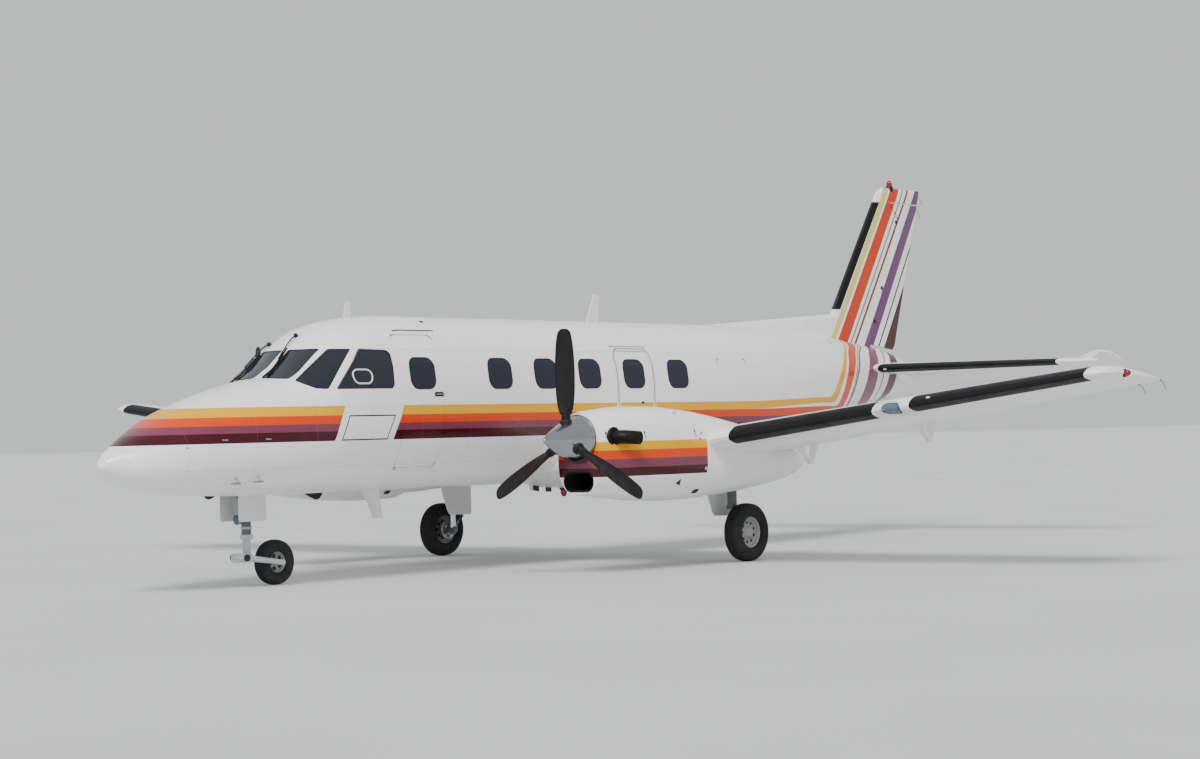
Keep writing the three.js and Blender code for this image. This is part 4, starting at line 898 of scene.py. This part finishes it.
# Static wicks: thin rods trailing from the edges, as (body, root, tip)
wicks = [("aileron_{}", (7.32, 7.80, 1.895), (7.34, 7.91, 1.79)),
         ("airframe", (7.60, 7.73, 1.938), (7.62, 7.82, 1.83)),
         ("elevators", (2.93, 14.49, 2.19), (2.95, 14.62, 2.14)),
         ("elevators", (2.45, 14.52, 2.20), (2.46, 14.65, 2.15))]
finWicks = [("airframe", (0, 15.10, 4.83), (0, 15.23, 4.72)),
            ("rudder", (0, 15.045, 4.66), (0, 15.17, 4.52))]
wickForm = {"bend": (0, 0.02, 0.012), "radii": [0.0032] * 8 + [0.002], "holder": (-0.35, 0.25),
            "holderRadius": 0.006}


def wick(root, tip):
    root, tip = Vector((root[0], aft(root[1]), root[2])), Vector((tip[0], aft(tip[1]), tip[2]))
    bend = (root + tip) / 2 + Vector(wickForm["bend"])
    rod = tube(curved([root, bend, tip], steps=4), wickForm["radii"], facets=8)
    holder = [root + (bend - root) * share for share in wickForm["holder"]]
    return join([rod, tube(holder, wickForm["holderRadius"], facets=8)])


for side, sideName in sides:
    byBody = {}
    for body, root, tip in wicks:
        shape = wick(root, tip)
        byBody.setdefault(body.format(sideName), []).append(shape if side == 1 else mirrored(shape))
    for body, shapes in byBody.items():
        piece(f"wicks_{body.split('_')[0]}_{sideName}", shapes, blackPaint, "black_rubber", body)
for body, root, tip in finWicks:
    piece(f"wicks_fin_{body}", [wick(root, tip)], blackPaint, "black_rubber", body)

# Rudder hinge covers
hingeCovers = {"spots": ((14.452, 4.435), (14.022, 3.477), (13.82, 3.0)),
               "form": ((0.055, 0.045), 0.012, 0.010)}
for side, sideName in sides:
    covers = [tile(sideCast(side, finSkin), spot, *hingeCovers["form"]) for spot in hingeCovers["spots"]]
    piece(f"rudder_hinge_covers_{sideName}", covers, blackPaint, "black_rubber")
print("lamps, wicks and hinges")

# Cowls: latches with their stems, scoop, vents and dots, the same on both sides of each cowl; the vents, the
# triangle and the oval, are black patches that paint the shade of their openings
nacelleX, shaftZ = 2.4, 1.46
cowlFit = {"clear": 0.9, "latches": ((4.650, 1.522), (5.187, 1.519), (6.036, 1.521)),
           "dot": ((0.022, 0.022), 0.0105, 0.004), "stem": (0.012, -0.07), "stemSection": (0.009, 0.003),
           "marks": (((6.149, 1.495), (0.026, 0.016), 0.007, 0.003),
                     ((6.112, 1.434), (0.026, 0.016), 0.007, 0.003)),
           "triangle": [(5.725, 0.955), (5.79, 1.0), (5.80, 0.925)], "triangleProud": 0.004,
           "oval": ((6.151, 0.854), (0.10, 0.045), 0.022, 0.003),
           "scoop": ((5.832, 1.734), (0.11, 0.05), 0.024, 0.002), "scoopCrown": (0.02, 0.025),
           "tack": ((6.20, 1.105), (0.03, 0.03), 0.014, 0.004)}
for side, sideName in sides:
    cowlSkin = skinOfNodes(f"nacelle_{sideName}", f"engine_{sideName}")
    dark, pale = [], []
    for way in (1, -1):
        x = side * nacelleX + way * cowlFit["clear"]
        cast = caster(cowlSkin, lambda station, z: (x, aft(station), z), (-way, 0, 0))
        for station, z in cowlFit["latches"]:
            stem = stretch((station, z), (station + cowlFit["stem"][0], z + cowlFit["stem"][1]), steps=3)
            dark += [tile(cast, (station, z), *cowlFit["dot"]),
                     bead(stem, cast, *cowlFit["stemSection"], closed=False)]
        dark += [tile(cast, *mark) for mark in cowlFit["marks"]]
        dark += [patch(cowlFit["triangle"], cast, cowlFit["triangleProud"]), tile(cast, *cowlFit["oval"])]
        out, up = cowlFit["scoopCrown"]
        pale += [tile(cast, *cowlFit["scoop"], crown=(way * out, 0, up)), tile(cast, *cowlFit["tack"])]
    piece(f"cowl_latches_{sideName}", dark, blackPaint, "black_rubber")
    piece(f"cowl_scoops_{sideName}", pale, whiteEnamel, "white_skin")

# Chin intake: a dark duct with a rounded lip, as (station, growth), capped at its far end, its dark being
# painted shade; and the thin dark ring behind the spinner, as (radius, station)
intake = {"z": 1.006, "size": (0.40, 0.206), "corner": 0.095,
          "rings": ((4.560, 0.010), (4.551, 0.008), (4.547, 0.0), (4.553, -0.006), (4.60, -0.012),
                    (4.80, -0.016), (5.05, -0.03)),
          "joint": [(0.235, 4.551), (0.2585, 4.551), (0.2605, 4.553), (0.259, 4.5555), (0.235, 4.5555),
                    (0.235, 4.551)]}
for side, sideName in sides:
    rings = []
    for station, grow in intake["rings"]:
        ring = roundedBox((side * nacelleX, intake["z"]), [size + 2 * grow for size in intake["size"]],
                          intake["corner"] + grow, steps=9)
        rings.append([(x, aft(station), z) for x, z in ring])
    joint = spun(intake["joint"], (side * nacelleX, stationZero, shaftZ), (0, 1, 0), facets=72)
    piece(f"chin_duct_{sideName}", [loft(rings, lastCap=True)], ductShadeBlack, "cowl_skin")
    piece(f"spinner_joint_{sideName}", [joint], sealRubber, "black_rubber")

# Exhausts: a stub on both sides of each cowl that turns aft, as (out, station, z), in a burnt collar whose
# dark also stands in for the opening round the stub: part heat oxide, part painted shade
exhaust = {"path": ((0.27, 4.762, 1.478), (0.33, 4.766, 1.478), (0.425, 4.788, 1.477),
                    (0.495, 4.850, 1.471), (0.534, 4.948, 1.462)),
           "outer": 0.0725, "inner": 0.064, "collar": (0.322, 4.765, 1.478),
           "ring": ((0.074, -0.03), (0.104, -0.03), (0.108, 0.012), (0.100, 0.026), (0.080, 0.034),
                    (0.074, 0.03), (0.074, -0.03))}
for side, sideName in sides:
    stubs, collars = [], []
    for way in (1, -1):
        *route, collar = [Vector((side * nacelleX + way * out, aft(station), z))
                          for out, station, z in exhaust["path"] + (exhaust["collar"],)]
        stubs.append(pipe(curved(route, steps=5), exhaust["outer"], exhaust["inner"], facets=32))
        collars.append(spun(exhaust["ring"], collar, (way, 0, 0), facets=40))
    piece(f"exhaust_stubs_{sideName}", stubs, exhaustAlloy, "engine_metal")
    piece(f"exhaust_collars_and_shade_{sideName}", collars, exhaustAlloy, "engine_metal")
print("cowls")

# Propellers: three twisted blades with rounded roots on a hub, and the polished spinner round them.
# Blade sections are (radius, chord, thickness, pitch in degrees); root, collar and spinner are profiles
propeller = {"plane": 4.370, "blades": 3, "facets": 24, "hub": 0.108, "hubEnds": (4.275, 4.561),
             "sections": ((0.266, 0.118, 0.074, 48), (0.350, 0.168, 0.046, 42), (0.520, 0.205, 0.030, 34),
                          (0.760, 0.218, 0.020, 26), (0.980, 0.200, 0.014, 21), (1.120, 0.160, 0.010, 19),
                          (1.165, 0.110, 0.008, 18.3), (1.180, 0.062, 0.006, 18)),
             "noseFullness": 0.36, "tailDraw": 0.14,
             "root": ((0, 0.06), (0.050, 0.06), (0.050, 0.24), (0.047, 0.285), (0.030, 0.305), (0, 0.31)),
             "collar": ((0.048, 0.17), (0.066, 0.17), (0.068, 0.20), (0.058, 0.212), (0.048, 0.208),
                        (0.048, 0.17)),
             "spinner": ((0, 3.995), (0.014, 4.004), (0.030, 4.026), (0.061, 4.077), (0.100, 4.148),
                         (0.143, 4.242), (0.183, 4.335), (0.221, 4.434), (0.243, 4.500), (0.254, 4.547)),
             "spinnerBack": [(0.235, 4.549), (0, 4.549)]}


def bladeShape():
    # the section is fuller towards its leading edge
    outline = [(-math.cos(turn) / 2,
                math.sin(turn) * (propeller["noseFullness"] - propeller["tailDraw"] * -math.cos(turn)))
               for turn in turnsOf(propeller["facets"])]
    rings = []
    for radius, chord, thick, pitch in curved(propeller["sections"], steps=5):
        c, s = math.cos(math.radians(pitch)), math.sin(math.radians(pitch))
        rings.append([(a * chord * c - b * thick * s, a * chord * s + b * thick * c, radius)
                      for a, b in outline])
    return join([loft(rings, True, True), spun(propeller["root"], (0, 0, 0), (0, 0, 1), facets=28)])


blade = bladeShape()
collar = spun(propeller["collar"], (0, 0, 0), (0, 0, 1), facets=28)
thirds = [Matrix.Rotation(turn, 4, "Y") for turn in turnsOf(propeller["blades"])]
hubStart, hubEnd = (station - propeller["plane"] for station in propeller["hubEnds"])
hub = spun(pin(propeller["hub"], hubStart, hubEnd), (0, 0, 0), (0, 1, 0), facets=40)
nose = spun([(radius, station - propeller["plane"])
             for radius, station in curved(propeller["spinner"], steps=5) + propeller["spinnerBack"]],
            (0, 0, 0), (0, 1, 0), facets=72)
onShaft = Matrix.Translation((nacelleX, aft(propeller["plane"]), shaftZ))
for side, sideName in sides:
    body = f"propeller_{sideName}"
    for label, shapes, material, slotName, replaced in (
        ("blades", [moved(blade, third) for third in thirds] + [hub], bladePaint, "propeller_black",
         [f"propeller_{sideName}"]),
        ("blade_collars", [moved(collar, third) for third in thirds], sealRubber, "black_rubber", []),
        ("polished_spinner", [nose], spinnerMetal, "spinner_metal", [f"spinner_{sideName}"]),
    ):
        placed = [moved(shape, onShaft) for shape in shapes]
        placed = placed if side == 1 else [mirrored(shape) for shape in placed]
        piece(f"{label}_{sideName}", placed, material, slotName, body, replaced)
print("propellers")

# Wheels: ribbed tyres and cast rims with their bolts, and black discs in place of the rims' openings, which
# paint their shade. A disc's radius is a share of the rim radius.
wheelSizes = {"main": {"radius": 0.335, "half": 0.105, "rim": 0.178, "station": 7.48, "x": 2.43,
                       "bolts": 9, "hole": 0.10},
              "nose": {"radius": 0.240, "half": 0.082, "rim": 0.110, "station": 2.36, "x": 0.0,
                       "bolts": 5, "hole": 0.24}}
# the side wall as (share of the tyre's height over the rim, share of its half width), the groove edges
# as shares of the half width, and how much of its height the tread falls to its edge
tyreForm = {"wall": ((0, 0.62), (0.03, 0.75), (0.10, 0.80), (0.14, 0.86), (0.30, 0.95), (0.48, 1.0),
                     (0.64, 0.985), (0.78, 0.91), (0.88, 0.80), (0.945, 0.69)),
            "ribs": (-0.60, -0.37, -0.12, 0.12, 0.37, 0.60), "steps": 6, "fall": 0.04, "groove": 0.007}
# the rim from its middle out, as shares of its radius and of the half width
rimForm = ((0, 0.52), (0.20, 0.52), (0.30, 0.48), (0.34, 0.40), (0.42, 0.27), (0.60, 0.21), (0.80, 0.24),
           (0.86, 0.30), (0.90, 0.52), (0.94, 0.60), (0.99, 0.63), (0.995, 0.58))
# studs stand on the rim's face in a ring, the bolts and the black discs of painted shade where the openings
# are; turn is in half pitches
studs = {"bolts": {"reach": 0.70, "share": 0.048, "height": 0.012, "facets": 6, "turn": 0},
         "shadeDiscs": {"reach": 0.63, "height": 0.004, "facets": 20, "turn": 1},
         "face": 0.20, "top": 0.7, "bevel": 0.002}


def bothSides(profile, half):
    # a profile of (radius, share of the half width), drawn on one side and back on the other
    left = [(radius, -share * half) for radius, share in profile]
    return left, [(radius, -across) for radius, across in left[::-1]]


def tyreShape(radius, half, rim):
    height, steps, groove = radius - rim, tyreForm["steps"], tyreForm["groove"]
    left, right = bothSides([(rim + share * height, across) for share, across in tyreForm["wall"]], half)
    tread, edge = [], tyreForm["ribs"][-1]
    for low, high in zip(tyreForm["ribs"], tyreForm["ribs"][1:]):
        for k in range(steps + 1):
            across = (low + (high - low) * k / steps) * half
            inset = groove / 2 if k == 0 else -groove / 2 if k == steps else 0
            fall = tyreForm["fall"] * height * (across / (edge * half)) ** 2
            tread.append((radius - fall, across + inset))
        if high < edge:
            bottom = tread[-1][0] - groove
            tread += [(bottom, high * half - groove / 3), (bottom, high * half + groove / 3)]
    loop = left + tread + right
    return loop + loop[:1]


def studRing(middle, size, kind, share):
    shapes, reach, radius = [], kind["reach"] * size["rim"], share * size["rim"]
    top = kind["height"] + studs["bevel"]
    profile = ((0, 0), (radius, 0), (radius, kind["height"]), (radius * studs["top"], top), (0, top))
    for way in (1, -1):
        for turn in turnsOf(size["bolts"]):
            angle = turn + kind["turn"] * math.pi / size["bolts"]
            face = way * studs["face"] * size["half"]
            spot = Vector(middle) + Vector((face, reach * math.cos(angle), reach * math.sin(angle)))
            shapes.append(spun(profile, spot, (way, 0, 0), kind["facets"]))
    return shapes


for label, side, end in (("main", 1, "_port"), ("main", -1, "_starboard"), ("nose", 1, "")):
    size, body = wheelSizes[label], f"{label}_wheel{end}"
    middle = (side * size["x"], aft(size["station"]), size["radius"])
    tyre = spun(tyreShape(size["radius"], size["half"], size["rim"]), middle, (1, 0, 0), facets=96)
    left, right = bothSides([(size["rim"] * reach, across) for reach, across in rimForm], size["half"])
    rim = spun(left + right, middle, (1, 0, 0), facets=64)
    bolts = studRing(middle, size, studs["bolts"], studs["bolts"]["share"])
    # black discs where the rim has openings: painted shade
    shadeDiscs = studRing(middle, size, studs["shadeDiscs"], size["hole"])
    piece(f"{label}_ribbed_tyre{end}", [tyre], tyreRubber, "tyre", body, [f"{label}_tyre{end}"])
    piece(f"{label}_cast_rim{end}", [rim], wheelCasting, "wheel_metal", body, [f"{label}_rim{end}"])
    piece(f"{label}_rim_bolts{end}", bolts, bareMetal, "gear_metal", body)
    piece(f"{label}_rim_shade_discs{end}", shadeDiscs, blackPaint, "black_rubber", body)

# Legs: chromed pistons, brake packs, hoses as (x, station, z) and link bolts on the main legs
legFit = {"x": 2.235, "station": 7.48, "piston": 0.0415, "pistonEnds": (0.36, 0.60), "axle": 0.335,
          "brakeX": 2.308, "brake": ((0.046, 0), (0.118, 0), (0.126, 0.008), (0.126, 0.046), (0.116, 0.056),
                                     (0.046, 0.056), (0.046, 0)),
          "pot": ((0, -0.02), (0.020, -0.02), (0.022, 0.0), (0.022, 0.03), (0, 0.03)), "potX": 2.298,
          "potRing": 0.085, "pots": 6, "link": ((7.64, 0.50), (7.51, 0.62), (7.51, 0.37)),
          "linkPin": pin(0.016, -0.04, 0.04), "hoseRadius": 0.008, "clip": pin(0.014, -0.012, 0.012),
          "hose": ((2.215, 7.545, 0.86), (2.20, 7.575, 0.70), (2.18, 7.60, 0.56), (2.20, 7.59, 0.44),
                   (2.29, 7.57, 0.38))}
for side, sideName in sides:
    x, y, z = side * legFit["x"], aft(legFit["station"]), legFit["axle"]
    piston = tube([(x, y, end) for end in legFit["pistonEnds"]], legFit["piston"], facets=32)
    piece(f"leg_piston_{sideName}", [piston], oleoChrome, "gear_metal")
    pack = [spun(legFit["brake"], (side * legFit["brakeX"], y, z), (side, 0, 0), facets=48)]
    for k in range(legFit["pots"]):
        turn, ring = 2 * math.pi * (k + 0.5) / legFit["pots"], legFit["potRing"]
        spot = (side * legFit["potX"], y + ring * math.cos(turn), z + ring * math.sin(turn))
        pack.append(spun(legFit["pot"], spot, (side, 0, 0), facets=20))
    pack += [spun(legFit["linkPin"], (x, aft(station), z), (1, 0, 0), facets=18)
             for station, z in legFit["link"]]
    piece(f"brake_pack_{sideName}", pack, bareMetal, "gear_metal")
    route = [Vector((side * x, aft(station), z)) for x, station, z in legFit["hose"]]
    clips = [spun(legFit["clip"], end, (0, 0, 1), facets=14) for end in (route[0], route[-1])]
    piece(f"brake_hose_{sideName}", [tube(curved(route), legFit["hoseRadius"])] + clips, sealRubber,
          "black_rubber")

# Nose leg: taxi lamp, clamp rings, and pivot caps on the steered part
noseLeg = {"station": 1.975, "lamp": (1.90, 0.709), "lampAft": 0.018, "bracketAhead": 0.05,
           "bracketRadius": 0.016, "clamps": (0.62, 0.76, 0.94),
           "body": ((0, 0), (0.034, 0.002), (0.050, 0.03), (0.055, 0.066), (0.058, 0.074), (0.050, 0.078)),
           "lens": ((0.050, 0.076), (0.040, 0.084), (0.022, 0.090), (0, 0.092)),
           "clamp": ((0.05, -0.014), (0.058, -0.014), (0.060, 0), (0.058, 0.014), (0.05, 0.014),
                     (0.05, -0.014)),
           "pivot": (1.838, 0.314), "capX": (-0.046, 0.148),
           "cap": ((0, 0), (0.034, 0), (0.038, 0.006), (0.036, 0.024), (0.022, 0.030), (0, 0.031))}
station, z = noseLeg["lamp"]
lampSpot = (0, aft(station) + noseLeg["lampAft"], z)
bracket = tube([(0, aft(noseLeg["station"]) - noseLeg["bracketAhead"], z), lampSpot],
               noseLeg["bracketRadius"], facets=14)
clamps = [spun(noseLeg["clamp"], (0, aft(noseLeg["station"]), z), (0, 0, 1), facets=36)
          for z in noseLeg["clamps"]]
housing, lens = (spun(noseLeg[key], lampSpot, (0, -1, 0), facets=36) for key in ("body", "lens"))
piece("taxi_lamp", [housing, bracket] + clamps, bareMetal, "gear_metal")
piece("taxi_lamp_lens", [lens], lampGlass, "glass")
station, z = noseLeg["pivot"]
caps = [spun(noseLeg["cap"], (x, aft(station), z), (math.copysign(1, x), 0, 0), facets=28)
        for x in noseLeg["capX"]]
piece("fork_pivot_caps", caps, blackPaint, "gear_metal", "nose_leg_lower")
print("wheels and legs")

# Feet of the aerials, filler caps on the wings, the door's handle and the belly fittings
feet = {"casts": {"aerial_forward": topCast, "aerial_aft": topCast, "aerial_belly": bellyCast},
        "margin": 0.06, "flat": 0.004, "proud": 0.005}
for name, castOf in feet["casts"].items():
    low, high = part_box(name)
    size = (high.x - low.x + feet["margin"], high.y - low.y + feet["margin"])
    foot = tile(castOf(), (0.0, (low.y + high.y) / 2 - stationZero), size, min(size) / 2 - feet["flat"],
                feet["proud"])
    piece(f"{name}_foot", [foot], whiteEnamel, "white_skin")
filler = {"x": 4.1, "station": 6.86, "form": ((0.09, 0.09), 0.044, 0.004)}
for side, sideName in sides:
    onWing = topCast(skinOfNodes(f"wing_{sideName}"))
    cap = tile(onWing, (side * filler["x"], filler["station"]), *filler["form"], steps=8)
    piece(f"filler_cap_{sideName}", [cap], bareMetal, "gear_metal")
# The grip's recess is a black patch on the door: painted shade
doorHandle = {"recessShade": ((4.06, 1.99), (0.16, 0.05), 0.024, 0.002), "grip": ((4.0, 1.99), (4.12, 1.99)),
              "section": (0.018, 0.012)}
cast = sideCast(1)
grip = bead(stretch(*doorHandle["grip"], steps=8), cast, *doorHandle["section"], closed=False)
piece("door_handle_recess_shade", [tile(cast, *doorHandle["recessShade"])], blackPaint, "black_rubber", "forward_door")
piece("door_handle", [grip], bareMetal, "spinner_metal", "forward_door")
# blades as (x, station, height), swept from a little inside the skin to their full height
bellyAerials = {"blades": ((0.003, 6.58, 0.06), (0.003, 6.80, 0.05), (0.003, 9.30, 0.045)), "sunk": 0.01,
                "shares": (0.6, 1),
                "section": [(-0.010, -0.05), (0.010, -0.05), (0.010, 0.03), (0.0, 0.05), (-0.010, 0.03)]}
shapes = []
for x, station, height in bellyAerials["blades"]:
    spot, normal = bellyCast(bellySkin)(x, station)
    path = [spot - normal * bellyAerials["sunk"]]
    path += [spot + normal * height * share for share in bellyAerials["shares"]]
    shapes.append(sweep(bellyAerials["section"], path, [(0, 1, 0)] * len(path)))
piece("belly_aerials", shapes, blackPaint, "black_rubber")

# Flight deck: round dials on the panel, as shares of their radius and heights, and padded seats
deck = {"panelStation": 2.141, "columns": (-0.44, -0.33, -0.22, -0.11, 0.11, 0.22, 0.33, 0.44),
        "rows": (1.62, 1.78, 1.94), "radius": 0.042,
        "rim": ((0.82, -0.004), (1, -0.004), (1, 0.006), (0.9, 0.009), (0.82, 0.004), (0.82, -0.004)),
        "face": pin(0.84, 0, 0.003)}
dials = [(x, aft(deck["panelStation"]), z) for z in deck["rows"] for x in deck["columns"]]
for label, key, material, slotName in (("dial_rims", "rim", bareMetal, "gear_metal"),
                                       ("dial_faces", "face", whiteEnamel, "panel_grey")):
    profile = [(share * deck["radius"], height) for share, height in deck[key]]
    piece(label, [spun(profile, spot, (0, 1, 0), facets=24) for spot in dials], material, slotName)

# Crowned pads: how far their sides and ends draw in, the form of the crown, and the sewn channels,
# which are shares of the half length
padForm = {"steps": 28, "sideDraw": 0.05, "endDraw": 0.04, "squareness": 4, "crown": 0.45, "under": 0.8,
           "channels": (-0.5, 0.0, 0.5), "channelDepth": 0.012, "channelWidth": 0.035}


def cushion(middle, size, lean):
    # a pad of (width, length, thickness); lean turns its length up from the horizontal
    width, length, thick = size
    steps, square, points, faces = padForm["steps"], padForm["squareness"], [], []
    for face in (1, -1):
        for i in range(steps + 1):
            for k in range(steps + 1):
                u, v = 2 * i / steps - 1, 2 * k / steps - 1
                x = width / 2 * u * (1 - padForm["sideDraw"] * (1 - v * v))
                y = length / 2 * v * (1 - padForm["endDraw"] * (1 - u * u))
                fullness = max(0.0, 1 - abs(u) ** square) * max(0.0, 1 - abs(v) ** square)
                crown = fullness ** padForm["crown"]
                sunk = sum(math.exp(-((v - channel) / padForm["channelWidth"]) ** 2)
                           for channel in padForm["channels"]) * padForm["channelDepth"] * crown
                top, under = thick / 2 * crown - sunk, -thick / 2 * crown * padForm["under"]
                z = top if face == 1 else under
                points.append(middle + Vector((x, y * math.cos(lean) - z * math.sin(lean),
                                               y * math.sin(lean) + z * math.cos(lean))))
        base = len(points) - (steps + 1) ** 2
        for i in range(steps):
            for k in range(steps):
                a = base + i * (steps + 1) + k
                ring = (a + 1, a + steps + 2, a + steps + 1)
                faces.append((a,) + (ring if face == 1 else ring[::-1]))
    return points, faces


# cushions as (station, level), size and lean, and the pedestal as (level, width, length)
seatFit = {"x": 0.40, "seat": ((2.855, 1.61), (0.42, 0.46, 0.13), -6),
           "back": ((3.118, 1.90), (0.42, 0.72, 0.11), 80.5), "fill": 0.6, "base": 2.86, "baseCorner": 0.05,
           "layers": ((1.22, 0.40, 0.34), (1.24, 0.36, 0.30), (1.44, 0.26, 0.22), (1.50, 0.34, 0.34),
                      (1.56, 0.38, 0.40))}
for side, sideName in sides:
    x = side * seatFit["x"]
    for label in ("seat", "back"):
        (station, z), size, lean = seatFit[label]
        shape = cushion(Vector((x, aft(station), z)), size, math.radians(lean))
        pad = piece(f"{label}_cushion_{sideName}", [shape], seatLeather, "seat_leather")
    spot, corner = (x, aft(seatFit["base"])), seatFit["baseCorner"]
    rings = [[(a, b, z) for a, b in roundedBox(spot, (width, length), corner)]
             for z, width, length in seatFit["layers"]]
    piece(f"seat_pedestal_{sideName}", [loft(rings, True, True)], deckTrim, "panel_grey",
          replaced=[f"seat_{sideName}"])
print("flight deck")

# Floor and light: a pale floor, a pale studio sky and one broad soft lamp high on the port bow
studio = {"floor": "D8D9DA", "floorHalf": 400, "floorPatch": 4.0, "sky": "F4F6F8", "skyStrength": 0.78,
          "lampTurn": (44, 0, 28), "lampSpread": 22, "lampStrength": 3.0}
floorMesh = bpy.data.meshes.new("floor")
reach = studio["floorHalf"]
floorMesh.from_pydata([(-reach, -reach, 0), (reach, -reach, 0), (reach, reach, 0), (-reach, reach, 0)],
                      [], [(0, 1, 2, 3)])
floor = bpy.data.objects.new("floor", floorMesh)
bpy.context.scene.collection.objects.link(floor)
# Painted concrete, dull and pale, with broad worn patches
floorMesh.materials.append(finishMaterial("paleFloor", studio["floor"], 0.75, spread=0.02,
                                          patch=studio["floorPatch"]))

world = bpy.data.worlds.new("studio")
bpy.context.scene.world = world
world.use_nodes = True
world.node_tree.nodes["Background"].inputs[0].default_value = linear(studio["sky"])
world.node_tree.nodes["Background"].inputs[1].default_value = studio["skyStrength"]
lamp = bpy.data.lights.new("softLamp", "SUN")
lamp.angle = math.radians(studio["lampSpread"])
lamp.energy = studio["lampStrength"]
lampObject = bpy.data.objects.new("softLamp", lamp)
bpy.context.scene.collection.objects.link(lampObject)
lampObject.rotation_euler = [math.radians(turn) for turn in studio["lampTurn"]]
